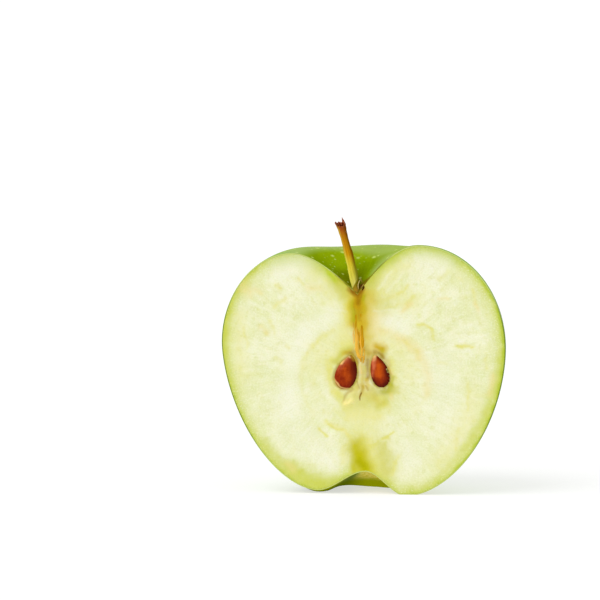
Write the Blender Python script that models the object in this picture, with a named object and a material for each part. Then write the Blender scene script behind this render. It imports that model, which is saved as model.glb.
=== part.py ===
"""Half of a green apple, cut through its stem and core, standing on the lobes of its base.

Metres, +Z up. The cut face is upright and looks along -Y, and the round back is at +Y. The origin
is on the surface that the apple stands on, under the middle of the half. Inside this script the
apple is shaped with its core axis at x = 0 and its cut at y = 0, and an empty carries it into place.
"""

import math

import bmesh
import bpy
from mathutils import Matrix, Vector

# Where the core axis and the cut lie, seen from the origin.
CORE_X = -0.00036
CUT_Y = -0.01725

# The outer form. Three sizes together are those of the right side, the middle of the back and the
# left side. The right and left sides are the two edges of the cut.
SHOULDER_RADIUS = (0.0160, 0.0176, 0.0164)
SHOULDER_HEIGHT = (0.0635, 0.0618, 0.0613)
GIRTH_RADIUS = (0.0371, 0.0352, 0.0353)
GIRTH_HEIGHT = (0.0386, 0.0380, 0.0376)
BASE_RADIUS = (0.0100, 0.0175, 0.0125)
UPPER_FULLNESS = (2.04, 2.00, 1.91)
LOWER_FULLNESS = (1.78, 1.80, 1.76)
STEM_HOLLOW_SLOPE = (1.30, 1.10, 0.90)
STEM_HOLLOW_FLOOR = 0.0514
EYE_TOP = 0.0057

# The core axis leans a little, so it passes these two points instead of standing on x = 0.
AXIS_AT_STEM = -0.00115
AXIS_AT_EYE = 0.00094

# Five lobes go round the apple. They are deepest at the base, which stands on three of them, cut
# level. The valleys between them rise most on the left.
LOBES = 5
FIRST_LOBE = math.radians(5)
BASE_VALLEY = (0.0007, 0.0006, 0.0013)
FOOT_CUT = 0.00045
SHOULDER_LOBE = 0.00025
GIRTH_LOBE = 0.0002
BASE_LOBE = 0.0003

# How finely the skin is divided, and how near two points count as one.
AZIMUTH_STEPS = 60
HOLLOW_STEPS = 9
UPPER_STEPS = 12
LOWER_STEPS = 16
BASIN_STEPS = 8
WELD = 0.000001

# The stem, along its own length from the flesh up.
STEM_FOOT = Vector((-0.00135, 0.0008, 0.0494))
STEM_TIP_Z = 0.0690
STEM_LEAN = 0.0039
STEM_LEAN_POWER = 1.4
STEM_BACK = 0.0006
STEM_RADIUS = 0.00115
STEM_FOOT_RADIUS = 0.00075
STEM_FLARE_RADIUS = 0.00142
STEM_FOOT_SHARE = 0.22
STEM_FLARE_SHARE = 0.14
STEM_STEPS = 14

# The two torn horns at the stem's tip: where each stands beside its middle and how it reaches.
HORN_SIDE = (0.0006, -0.0007)
HORN_REACH = (Vector((0.0004, 0.0, 0.0020)), Vector((-0.0011, 0.0, 0.0009)))
HORN_RADIUS = 0.00050
HORN_TIP_RADIUS = 0.00015
HORN_SIDES = 8

# The socket that the stem sits in, as shares of the stem's length, and the gap left round it.
SOCKET_FROM = -0.02
SOCKET_TO = 0.38
SOCKET_STEPS = 6
GAP = 0.00042

# The two seeds, each given by its lowest point, its length and how far its tip bends to the axis.
SEED_LENGTH = (0.0089, 0.0084)
SEED_WIDTH = (0.00585, 0.0050)
SEED_THICKNESS = 0.0027
SEED_LOW = (Vector((-0.00435, 0.0005, 0.0267)), Vector((0.00490, 0.0005, 0.0270)))
SEED_TIP_BEND = (0.00135, -0.0014)
SEED_TAPER = 0.25
SEED_NARROWED = 0.88
SEED_SIDES = 20
SEED_RINGS = 14

# The hollows that the seeds lie in, centred on the cut. Each is a ball drawn out into a narrow tail
# below the seed.
POCKET_MIDDLE = (Vector((-0.00405, 0.0, 0.0300)), Vector((0.00472, 0.0, 0.0298)))
POCKET_LENGTH = (0.0142, 0.0146)
POCKET_WIDTH = (0.0073, 0.0067)
POCKET_DEPTH = 0.0029
POCKET_TAIL = 0.6
POCKET_TAIL_POWER = 3
POCKET_TILT = (math.radians(2), math.radians(-3))

# The bundle of fibres that runs from the stem down between the seeds, as two strands.
FIBRE_RADIUS = 0.00055
FIBRE_SINK = 0.00015
FIBRE_TOP = 0.0497
FIBRE_BOTTOM = 0.0325
FIBRE_SIDE = 0.0003
FIBRE_SWAY = 0.0007
FIBRE_LEAN = 0.0017
FIBRE_LEAN_POWER = 2.2
FIBRE_STEPS = 16

# Half the number of flat sides round a stem or a strand, and the angle that counts as an edge.
STEM_ROUNDNESS = 3
FIBRE_ROUNDNESS = 2
SHARP = math.radians(40)

# The block that levels the feet: how far it reaches to the sides and below the floor.
FLOOR_REACH = 0.2
FLOOR_DEPTH = 0.02


def around(sides, azimuth):
    """A size at an azimuth from 0 on the right, through the back, to pi on the left."""
    right, back, left = sides
    mean = (right + left) / 2
    swing = (right - left) / 2 * math.cos(azimuth) + (mean - back) / 2 * math.cos(2 * azimuth)
    return (mean + back) / 2 + swing


def lobe(azimuth):
    """1 on a lobe's crest and -1 in the valley between two."""
    return math.cos(LOBES * (azimuth - FIRST_LOBE))


def lobe_off_cut(azimuth):
    """The lobes less what they would add at the two edges of the cut, so that it is 0 there."""
    return lobe(azimuth) - lobe(0) * math.cos(azimuth)


def axis_x(height):
    """Where the leaning core axis is at a height."""
    share = (STEM_HOLLOW_FLOOR - height) / (STEM_HOLLOW_FLOOR - EYE_TOP)
    return AXIS_AT_STEM + (AXIS_AT_EYE - AXIS_AT_STEM) * share


def meridian(azimuth):
    """The skin's outline at an azimuth, from the stem down to the eye, as (radius, height) pairs."""
    crest = lobe_off_cut(azimuth)
    shoulder_r = around(SHOULDER_RADIUS, azimuth) + SHOULDER_LOBE * crest
    shoulder_z = around(SHOULDER_HEIGHT, azimuth) + SHOULDER_LOBE * crest
    girth_r = around(GIRTH_RADIUS, azimuth) + GIRTH_LOBE * crest
    girth_z = around(GIRTH_HEIGHT, azimuth)
    base_r = around(BASE_RADIUS, azimuth) + BASE_LOBE * crest
    base_z = around(BASE_VALLEY, azimuth) * (1 - lobe(azimuth)) / 2 - FOOT_CUT
    slope = around(STEM_HOLLOW_SLOPE, azimuth)
    rise = shoulder_z - STEM_HOLLOW_FLOOR
    outline = []
    for step in range(HOLLOW_STEPS):
        t = step / HOLLOW_STEPS
        ease = 3 * t**2 - 2 * t**3
        foot = t**3 - 2 * t**2 + t
        outline.append((shoulder_r * t, STEM_HOLLOW_FLOOR + rise * ease + slope * shoulder_r * foot))
    power = 2 / around(UPPER_FULLNESS, azimuth)
    for step in range(UPPER_STEPS):
        turn = math.pi / 2 * step / UPPER_STEPS
        out = math.sin(turn) ** power
        up = math.cos(turn) ** power
        outline.append((shoulder_r + (girth_r - shoulder_r) * out, girth_z + (shoulder_z - girth_z) * up))
    power = 2 / around(LOWER_FULLNESS, azimuth)
    for step in range(LOWER_STEPS):
        turn = math.pi / 2 * step / LOWER_STEPS
        out = math.cos(turn) ** power
        down = math.sin(turn) ** power
        outline.append((base_r + (girth_r - base_r) * out, girth_z - (girth_z - base_z) * down))
    for step in range(BASIN_STEPS + 1):
        t = step / BASIN_STEPS
        ease = 3 * t**2 - 2 * t**3
        outline.append((base_r * (1 - t), base_z + (EYE_TOP - base_z) * ease))
    return outline


def simple_material(name, colour, roughness):
    """A plain finish for the working model."""
    material = bpy.data.materials.new(name)
    material.use_nodes = True
    shader = material.node_tree.nodes["Principled BSDF"]
    shader.inputs["Base Color"].default_value = (*colour, 1)
    shader.inputs["Roughness"].default_value = roughness
    shader.inputs["Metallic"].default_value = 0
    return material


def add_object(name, mesh, collection, carrier, material=None):
    """Puts a mesh into a collection as a named object, carried by an empty."""
    made = bpy.data.objects.new(name, mesh)
    collection.objects.link(made)
    made.parent = carrier
    if material:
        mesh.materials.clear()
        mesh.materials.append(material)
    return made


def mesh_from(work, name):
    """Closes off a bmesh as a smooth mesh with its faces pointing out."""
    bmesh.ops.recalc_face_normals(work, faces=work.faces)
    mesh = bpy.data.meshes.new(name)
    work.to_mesh(mesh)
    work.free()
    mesh.shade_smooth()
    mesh.set_sharp_from_angle(angle=SHARP)
    return mesh


def half_body():
    """A flat grid wrapped round the apple from the right edge of the cut to the left, then closed
    along the cut."""
    outlines = [meridian(math.pi * step / AZIMUTH_STEPS) for step in range(AZIMUTH_STEPS + 1)]
    rows = len(outlines[0]) - 1
    work = bmesh.new()
    bmesh.ops.create_grid(work, x_segments=AZIMUTH_STEPS, y_segments=rows, size=0.5)
    for corner in work.verts:
        column = round((corner.co.x + 0.5) * AZIMUTH_STEPS)
        row = round((0.5 - corner.co.y) * rows)
        azimuth = math.pi * column / AZIMUTH_STEPS
        radius, height = outlines[column][row]
        across = axis_x(height) + radius * math.cos(azimuth)
        corner.co = (across, radius * math.sin(azimuth), height)
    bmesh.ops.remove_doubles(work, verts=work.verts, dist=WELD)
    rim = [edge for edge in work.edges if edge.is_boundary]
    for edge in rim:
        for corner in edge.verts:
            corner.co.y = 0
    bmesh.ops.contextual_create(work, geom=rim)
    bmesh.ops.triangulate(work, faces=[f for f in work.faces if len(f.verts) > 4])
    return mesh_from(work, "flesh")


def rod(name, points, radii, roundness):
    """A round rod along points as a closed mesh, from a curve with a bevel."""
    curve = bpy.data.curves.new(name, "CURVE")
    curve.dimensions = "3D"
    curve.bevel_depth = 1
    curve.bevel_resolution = roundness
    curve.use_fill_caps = True
    spline = curve.splines.new("POLY")
    spline.points.add(len(points) - 1)
    for knot, place, radius in zip(spline.points, points, radii):
        knot.co = (*place, 1)
        knot.radius = radius
    drawn = bpy.data.objects.new(name, curve)
    bpy.context.scene.collection.objects.link(drawn)
    bpy.context.view_layer.update()
    seen = drawn.evaluated_get(bpy.context.evaluated_depsgraph_get())
    swept = bpy.data.meshes.new_from_object(seen)
    work = bmesh.new()
    work.from_mesh(swept)
    bmesh.ops.remove_doubles(work, verts=work.verts, dist=WELD)
    bpy.data.meshes.remove(swept)
    bpy.data.objects.remove(drawn)
    bpy.data.curves.remove(curve)
    return mesh_from(work, name)


def stem_line(share):
    """A point of the stem's middle and its radius, at a share of its length from the flesh up."""
    height = STEM_FOOT.z + (STEM_TIP_Z - STEM_FOOT.z) * share
    lean = STEM_LEAN * max(0, share) ** STEM_LEAN_POWER
    place = Vector((STEM_FOOT.x - lean, STEM_FOOT.y + STEM_BACK * share, height))
    thickened = min(1, share / STEM_FOOT_SHARE)
    flared = max(0, (share - 1) / STEM_FLARE_SHARE + 1) ** 2
    radius = STEM_FOOT_RADIUS + (STEM_RADIUS - STEM_FOOT_RADIUS) * thickened
    return place, radius + (STEM_FLARE_RADIUS - STEM_RADIUS) * flared


def horn(base, reach):
    """A slim cone from a base point to a tip, sunk its own radius into what it stands on."""
    work = bmesh.new()
    length = reach.length + HORN_RADIUS
    bmesh.ops.create_cone(
        work,
        cap_ends=True,
        segments=HORN_SIDES,
        radius1=HORN_RADIUS,
        radius2=HORN_TIP_RADIUS,
        depth=length,
    )
    turn = Vector((0, 0, 1)).rotation_difference(reach).to_matrix().to_4x4()
    middle = base + reach.normalized() * (length / 2 - HORN_RADIUS)
    bmesh.ops.transform(work, matrix=Matrix.Translation(middle) @ turn, verts=work.verts)
    return mesh_from(work, "horn")


def seed_body(side, name):
    """A seed: a flattened ball that narrows towards its tip by the fourth root of the distance to
    it, with the tip bent to the core axis."""
    work = bmesh.new()
    bmesh.ops.create_uvsphere(work, u_segments=SEED_SIDES, v_segments=SEED_RINGS, radius=1)
    for corner in work.verts:
        share = (corner.co.z + 1) / 2
        taper = max(0, 1 - share) ** SEED_TAPER / SEED_NARROWED
        across = corner.co.x * SEED_WIDTH[side] / 2 * taper + SEED_TIP_BEND[side] * share**2
        deep = corner.co.y * SEED_THICKNESS / 2 * taper
        corner.co = SEED_LOW[side] + Vector((across, deep, share * SEED_LENGTH[side]))
    return mesh_from(work, name)


def pocket_body(side):
    """The hollow of one seed: a stretched ball that narrows downwards into a tail."""
    work = bmesh.new()
    bmesh.ops.create_uvsphere(work, u_segments=SEED_SIDES, v_segments=SEED_RINGS, radius=1)
    for corner in work.verts:
        narrowed = 1 - POCKET_TAIL * ((1 - corner.co.z) / 2) ** POCKET_TAIL_POWER
        corner.co.x *= narrowed
        corner.co.y *= narrowed
    size = Matrix.Diagonal((POCKET_WIDTH[side] / 2, POCKET_DEPTH, POCKET_LENGTH[side] / 2, 1))
    turn = Matrix.Rotation(POCKET_TILT[side], 4, "Y")
    place = Matrix.Translation(POCKET_MIDDLE[side])
    bmesh.ops.transform(work, matrix=place @ turn @ size, verts=work.verts)
    return mesh_from(work, "pocket")


def fibre_points(side):
    """One strand's middle: it leans across to the axis and sways out to its own side halfway down."""
    points = []
    for step in range(FIBRE_STEPS + 1):
        t = step / FIBRE_STEPS
        sway = side * (FIBRE_SIDE + FIBRE_SWAY * math.sin(math.pi * t) ** 2)
        across = STEM_FOOT.x + FIBRE_LEAN * t**FIBRE_LEAN_POWER + sway
        points.append(Vector((across, FIBRE_SINK, FIBRE_TOP + (FIBRE_BOTTOM - FIBRE_TOP) * t)))
    return points


def boolean(target, name, operation, cutters):
    """Adds a Boolean with every object of a collection."""
    modifier = target.modifiers.new(name, "BOOLEAN")
    modifier.operation = operation
    modifier.operand_type = "COLLECTION"
    modifier.collection = cutters
    modifier.solver = "EXACT"


def new_collection(name):
    """A collection of its own, shown in the scene."""
    collection = bpy.data.collections.new(name)
    bpy.context.scene.collection.children.link(collection)
    return collection


def join_into(target, collection):
    """Fuses every object of a collection into the target for good, and removes them."""
    boolean(target, "join", "UNION", collection)
    bpy.context.view_layer.update()
    seen = target.evaluated_get(bpy.context.evaluated_depsgraph_get())
    fused = bpy.data.meshes.new_from_object(seen)
    fused.name = target.name
    target.modifiers.clear()
    target.data = fused
    for joined in list(collection.objects):
        bpy.data.objects.remove(joined)
    bpy.data.collections.remove(collection)


def build_flesh(apple, half, cutters):
    """The half itself: flesh with its skin, the strands fused on, the feet cut level, and the
    hollows for the stem and the seeds cut out."""
    skin_and_flesh = simple_material("flesh", (0.84, 0.86, 0.56), 0.45)
    flesh = add_object("flesh", half_body(), apple, half, skin_and_flesh)
    strands = new_collection("strands")
    for side in (-1, 1):
        points = fibre_points(side)
        radii = [FIBRE_RADIUS] * len(points)
        add_object("strand", rod("strand", points, radii, FIBRE_ROUNDNESS), strands, half)
    join_into(flesh, strands)

    floor = bmesh.new()
    bmesh.ops.create_cube(floor, size=1)
    size = Matrix.Diagonal((FLOOR_REACH, FLOOR_REACH, FLOOR_DEPTH, 1))
    below = Matrix.Translation((0, 0, -FLOOR_DEPTH / 2))
    bmesh.ops.transform(floor, matrix=below @ size, verts=floor.verts)
    add_object("floor_block", mesh_from(floor, "floor_block"), cutters, half)
    for side in (0, 1):
        add_object("pocket", pocket_body(side), cutters, half)
    reach = (SOCKET_TO - SOCKET_FROM) / SOCKET_STEPS
    line = [stem_line(SOCKET_FROM + reach * step) for step in range(SOCKET_STEPS + 1)]
    points = [place for place, _ in line]
    radii = [radius + GAP for _, radius in line]
    add_object("socket", rod("socket", points, radii, STEM_ROUNDNESS), cutters, half)
    for cutter in cutters.objects:
        cutter.hide_render = True
        cutter.display_type = "WIRE"
    boolean(flesh, "hollows", "DIFFERENCE", cutters)


def build_stem(apple, half):
    """The woody stem, with the torn end where it broke from the twig."""
    wood = simple_material("stem", (0.36, 0.20, 0.05), 0.6)
    line = [stem_line(step / STEM_STEPS) for step in range(STEM_STEPS + 1)]
    points = [place for place, _ in line]
    radii = [radius for _, radius in line]
    stem = add_object("stem", rod("stem", points, radii, STEM_ROUNDNESS), apple, half, wood)
    horns = new_collection("horns")
    for aside, reach in zip(HORN_SIDE, HORN_REACH):
        base = points[-1] + Vector((aside, 0, 0))
        add_object("horn", horn(base, reach), horns, half)
    join_into(stem, horns)


def build_seeds(apple, half):
    """Both seeds, each loose in its own hollow."""
    coat = simple_material("seed", (0.30, 0.07, 0.02), 0.3)
    for side, name in enumerate(("seed_left", "seed_right")):
        add_object(name, seed_body(side, name), apple, half, coat)


def main():
    """Clears what is there and builds the half."""
    for old in list(bpy.data.objects):
        bpy.data.objects.remove(old)
    apple = new_collection("fruit_half")
    cutters = new_collection("cutters")
    half = bpy.data.objects.new("half", None)
    half.location = (CORE_X, CUT_Y, 0)
    apple.objects.link(half)
    build_flesh(apple, half, cutters)
    build_stem(apple, half)
    build_seeds(apple, half)


main()
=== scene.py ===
"""Half of a green apple as it looks: pale flesh with its grain and core, green peel with its spots,
the stem with the dry scales at its foot, the strands that run down from it and the two seeds.

Metres, +Z up. The cut face looks along -Y. Places on the cut face are given in millimetres from
the foot of the core axis, across to the right and up.
"""

import math

import bmesh
import bpy
import numpy as np
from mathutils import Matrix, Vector


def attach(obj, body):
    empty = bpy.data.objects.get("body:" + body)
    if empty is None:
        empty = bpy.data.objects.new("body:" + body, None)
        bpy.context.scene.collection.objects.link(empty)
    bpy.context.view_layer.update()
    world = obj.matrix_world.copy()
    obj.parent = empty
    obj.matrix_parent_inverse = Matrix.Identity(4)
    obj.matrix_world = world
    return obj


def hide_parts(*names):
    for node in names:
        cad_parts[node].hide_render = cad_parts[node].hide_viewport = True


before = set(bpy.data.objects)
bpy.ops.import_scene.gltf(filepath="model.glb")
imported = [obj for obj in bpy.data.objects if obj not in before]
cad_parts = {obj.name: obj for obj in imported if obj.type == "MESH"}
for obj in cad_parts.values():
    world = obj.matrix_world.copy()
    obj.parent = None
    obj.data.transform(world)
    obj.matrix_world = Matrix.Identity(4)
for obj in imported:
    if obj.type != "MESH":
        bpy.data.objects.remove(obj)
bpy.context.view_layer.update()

MM = 0.001

# Where the core axis and the cut lie in the frame.
CORE_X = -0.36 * MM
CUT_Y = -17.25 * MM

# The outer form, as the solid has it: sizes on the right side, at the back and on the left side.
SHOULDER_RADIUS = (0.0160, 0.0176, 0.0164)
SHOULDER_HEIGHT = (0.0635, 0.0618, 0.0613)
GIRTH_RADIUS = (0.0371, 0.0352, 0.0353)
GIRTH_HEIGHT = (0.0386, 0.0380, 0.0376)
BASE_RADIUS = (0.0100, 0.0175, 0.0125)
UPPER_FULLNESS = (2.04, 2.00, 1.91)
LOWER_FULLNESS = (1.78, 1.80, 1.76)
STEM_HOLLOW_SLOPE = (1.30, 1.10, 0.90)
STEM_HOLLOW_FLOOR = 0.0514
EYE_TOP = 0.0057
AXIS_AT_STEM = -0.00115
AXIS_AT_EYE = 0.00094
LOBES = 5
FIRST_LOBE = math.radians(5)
BASE_VALLEY = (0.0007, 0.0006, 0.0013)
FOOT_CUT = 0.00045
SHOULDER_LOBE = 0.00025
GIRTH_LOBE = 0.0002
BASE_LOBE = 0.0003

# A low swelling of the shoulder at the back left: its height, azimuth and spread.
SWELLING = 0.0006
SWELLING_AZIMUTH = 2.15
SWELLING_SPREAD = 0.55

# How finely each stretch of the skin is divided, from the stem over the shoulder to the eye.
HOLLOW_STEPS = 40
UPPER_STEPS = 56
LOWER_STEPS = 84
BASIN_STEPS = 30
PEEL_COLUMNS = 141
BACK_COLUMNS = 25
EDGE_STEPS = 5
WELD = 2e-7
SHARP = math.radians(50)

# The peel: its thickness, how far its cut edge stands out, and its streaks.
PEEL_THICKNESS = 0.27 * MM
PEEL_LIFT = 0.04 * MM
PEEL_FINENESS = 24.0
PEEL_STREAK = 14.0

# The flesh's rays go out from here, and are broader within a calm middle.
RAY_MIDDLE = (0.5, 33.0)
RAY_FINENESS = 26.0
RAY_LENGTH = 5.0
RAY_CALM = 6.0

# The cut face is divided in rings round a centre in the core. Near the peel it is level.
FACE_CENTRE = (0.5, 30.0)
FACE_RINGS = 190
RING_SPREAD = 1.15
LEVEL_RIM = 1.2


def smooth(start, end, value):
    """0 at the start and 1 at the end, easing at both: 3t^2 - 2t^3."""
    t = np.clip((value - start) / (end - start), 0, 1)
    return t * t * (3 - 2 * t)


def around(sides, azimuth):
    """A size at an azimuth from 0 on the right, through the back, to pi on the left: a level plus
    half a cosine wave, which takes right to left, and a whole one, which takes both to the back."""
    right, back, left = sides
    mean = (right + left) / 2
    swing = (right - left) / 2 * np.cos(azimuth) + (mean - back) / 2 * np.cos(2 * azimuth)
    return (mean + back) / 2 + swing


def lobe(azimuth):
    """1 on a lobe's crest and -1 in the valley between two: the cosine of five times the azimuth."""
    return np.cos(LOBES * (azimuth - FIRST_LOBE))


def axis_x(height):
    """Where the leaning core axis is at a height, on the line through its two ends."""
    share = (STEM_HOLLOW_FLOOR - height) / (STEM_HOLLOW_FLOOR - EYE_TOP)
    return AXIS_AT_STEM + (AXIS_AT_EYE - AXIS_AT_STEM) * share


def outlines(azimuth):
    """Radius and height of the skin on a grid of azimuths and steps from the stem to the eye.

    The stem's hollow is a cubic that leaves the axis at a slope and levels out on the shoulder. Two
    quarters of a superellipse, x^n + z^n = 1, go from the shoulder to the girth and to the base.
    A cubic with level ends rises from the base to the eye."""
    azimuth = azimuth[:, None]
    crest = lobe(azimuth) - lobe(0) * np.cos(azimuth)
    shoulder_r = around(SHOULDER_RADIUS, azimuth) + SHOULDER_LOBE * crest
    swelling = SWELLING * np.exp(-(((azimuth - SWELLING_AZIMUTH) / SWELLING_SPREAD) ** 2))
    shoulder_z = around(SHOULDER_HEIGHT, azimuth) + SHOULDER_LOBE * crest + swelling
    girth_r = around(GIRTH_RADIUS, azimuth) + GIRTH_LOBE * crest
    girth_z = around(GIRTH_HEIGHT, azimuth)
    base_r = around(BASE_RADIUS, azimuth) + BASE_LOBE * crest
    base_z = around(BASE_VALLEY, azimuth) * (1 - lobe(azimuth)) / 2 - FOOT_CUT

    t = np.arange(HOLLOW_STEPS)[None] / HOLLOW_STEPS
    slope = around(STEM_HOLLOW_SLOPE, azimuth) * shoulder_r * (t**3 - 2 * t**2 + t)
    hollow_r = shoulder_r * t
    hollow_z = STEM_HOLLOW_FLOOR + (shoulder_z - STEM_HOLLOW_FLOOR) * (3 * t**2 - 2 * t**3) + slope

    turn = np.pi / 2 * np.arange(UPPER_STEPS)[None] / UPPER_STEPS
    power = 2 / around(UPPER_FULLNESS, azimuth)
    upper_r = shoulder_r + (girth_r - shoulder_r) * np.sin(turn) ** power
    upper_z = girth_z + (shoulder_z - girth_z) * np.cos(turn) ** power

    turn = np.pi / 2 * np.arange(LOWER_STEPS)[None] / LOWER_STEPS
    power = 2 / around(LOWER_FULLNESS, azimuth)
    lower_r = base_r + (girth_r - base_r) * np.cos(turn) ** power
    lower_z = girth_z - (girth_z - base_z) * np.sin(turn) ** power

    t = np.arange(BASIN_STEPS + 1)[None] / BASIN_STEPS
    basin_r = base_r * (1 - t)
    basin_z = base_z + (EYE_TOP - base_z) * (3 * t**2 - 2 * t**3)

    radius = np.concatenate([hollow_r, upper_r, lower_r, basin_r], axis=1)
    height = np.concatenate([hollow_z, upper_z, lower_z, basin_z], axis=1)
    return radius, np.maximum(height, 0)


def layer(azimuth, depth):
    """Points a depth under the skin: the outlines moved inwards at right angles to themselves."""
    radius, height = outlines(azimuth)
    along_r = np.gradient(radius, axis=1)
    along_z = np.gradient(height, axis=1)
    length = np.hypot(along_r, along_z)
    radius = radius + depth * along_z / length
    height = height - depth * along_r / length
    radius[:, [0, -1]] = 0
    height[:, 0] = STEM_HOLLOW_FLOOR - depth * 1.5
    height[:, -1] = EYE_TOP + depth
    across = CORE_X + axis_x(height) + radius * np.cos(azimuth[:, None])
    deep = CUT_Y + radius * np.sin(azimuth[:, None])
    return np.stack([across, deep, height], axis=-1)


def ray_grain(points):
    """A vector whose first two parts go round the rays' middle and whose third goes out from it, so
    that noise read from it lies in rays: (fineness sin, fineness cos, distance / length)."""
    across = points[..., 0] / MM - RAY_MIDDLE[0]
    up = points[..., 2] / MM - RAY_MIDDLE[1]
    distance = np.hypot(across, up)
    turn = np.arctan2(across, up)
    fine = RAY_FINENESS * smooth(0, RAY_CALM, distance)
    return np.stack([fine * np.sin(turn), fine * np.cos(turn), distance / RAY_LENGTH], axis=-1)


def round_grain(turn, height, fineness, length):
    """A vector whose first two parts go round an axis and whose third goes up it, so that noise read
    from it lies in streaks along it: (fineness cos, fineness sin, height / length)."""
    cos, sin = fineness * np.cos(turn), fineness * np.sin(turn)
    return np.stack(np.broadcast_arrays(cos, sin, height / length), axis=-1)


def placed(across, deep, up):
    """Points from places in millimetres: across from the core axis, in from the cut, and up."""
    return np.stack([CORE_X + across * MM, CUT_Y + deep * MM, up * MM], axis=-1)


def quads(columns, rows, first):
    """The four corners of each cell of a grid whose points are stored column by column."""
    corner = first + np.arange(columns - 1)[:, None] * rows + np.arange(rows - 1)
    return np.stack([corner, corner + rows, corner + rows + 1, corner + 1], axis=-1).reshape(-1, 4)


def solid(name, grids, material, marks):
    """One closed mesh from grids of points that meet along their borders. Its marks are numbers or
    vectors for each point, in one dictionary for each grid."""
    points = np.concatenate([grid.reshape(-1, 3) for grid in grids])
    first = 0
    cells = []
    for grid in grids:
        cells.append(quads(grid.shape[0], grid.shape[1], first))
        first += grid.shape[0] * grid.shape[1]
    cells = np.concatenate(cells)

    mesh = bpy.data.meshes.new(name)
    mesh.vertices.add(len(points))
    mesh.vertices.foreach_set("co", points.astype(np.float32).ravel())
    mesh.loops.add(cells.size)
    mesh.loops.foreach_set("vertex_index", cells.ravel().astype(np.int32))
    mesh.polygons.add(len(cells))
    mesh.polygons.foreach_set("loop_start", np.arange(0, cells.size, 4, dtype=np.int32))
    mesh.update(calc_edges=True)
    for mark, sample in marks[0].items():
        kind, field = ("FLOAT_VECTOR", "vector") if sample.ndim == 3 else ("FLOAT", "value")
        stored = mesh.attributes.new(mark, kind, "POINT")
        stored.data.foreach_set(field, np.concatenate([given[mark].ravel() for given in marks]))

    work = bmesh.new()
    work.from_mesh(mesh)
    bmesh.ops.remove_doubles(work, verts=work.verts, dist=WELD)
    bmesh.ops.recalc_face_normals(work, faces=work.faces)
    work.to_mesh(mesh)
    work.free()
    mesh.shade_smooth()
    mesh.set_sharp_from_angle(angle=SHARP)
    mesh.materials.append(material)
    piece = bpy.data.objects.new(name, mesh)
    bpy.context.scene.collection.objects.link(piece)
    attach(piece, "root")
    return piece


def rounded(numbers, size, times):
    """A path from its points' numbers, one after the other and so many to a point, with its corners
    cut: each side gives its quarter points, the ends stay."""
    path = np.reshape(numbers, (-1, size)).astype(float)
    for _ in range(times):
        start, end = path[:-1], path[1:]
        cut = np.stack([start * 0.75 + end * 0.25, start * 0.25 + end * 0.75], axis=1)
        path = np.concatenate([path[:1], cut.reshape(-1, path.shape[1]), path[-1:]])
    return path


def distance_to(across, up, path):
    """How far places on the cut face lie from a path, in millimetres."""
    path = rounded(path, 2, 2)
    nearest = np.full(across.shape, np.inf)
    for (x0, z0), (x1, z1) in zip(path[:-1], path[1:]):
        run_x, run_z = x1 - x0, z1 - z0
        share = ((across - x0) * run_x + (up - z0) * run_z) / max(run_x**2 + run_z**2, 1e-9)
        share = np.clip(share, 0, 1)
        nearest = np.minimum(nearest, np.hypot(across - x0 - run_x * share, up - z0 - run_z * share))
    return nearest


def paint(red, green, blue):
    """A colour from the numbers that a paint chart gives, 0 to 255, as linear light."""
    level = np.array([red, green, blue]) / 255
    linear = np.where(level <= 0.04045, level / 12.92, ((level + 0.055) / 1.055) ** 2.4)
    return (*[float(part) for part in linear], 1.0)


# The paints for stains, and for painted light and shade.
OLIVE = paint(178, 176, 0)
DARK_OLIVE = paint(122, 112, 6)
LIME = paint(186, 205, 28)
EDGE_LIME = paint(204, 210, 80)
LEAF = paint(180, 198, 48)
DULL = paint(202, 200, 84)
TUBE = paint(196, 190, 0)
SEPIA = paint(170, 135, 30)
STRAW = paint(226, 222, 116)
PALE_STRAW = paint(232, 229, 152)
GOLD = paint(212, 184, 40)
YELLOW = paint(222, 210, 52)
SAND = paint(218, 201, 92)
DRAB = paint(212, 210, 112)
TAN = paint(186, 156, 34)
UMBER = paint(156, 118, 6)
OCHRE = paint(196, 156, 10)
BEIGE = paint(236, 222, 150)
BUTTER = paint(246, 234, 156)
PEACH = paint(246, 206, 128)
WHITE = paint(246, 246, 230)
CREAM = paint(215, 200, 113)
GREY = paint(210, 206, 138)
BROWN = paint(138, 92, 6)
DARK_BROWN = paint(58, 34, 4)
ORANGE = paint(206, 88, 12)
MAHOGANY = paint(84, 16, 4)
ROSE = paint(206, 108, 70)
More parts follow.
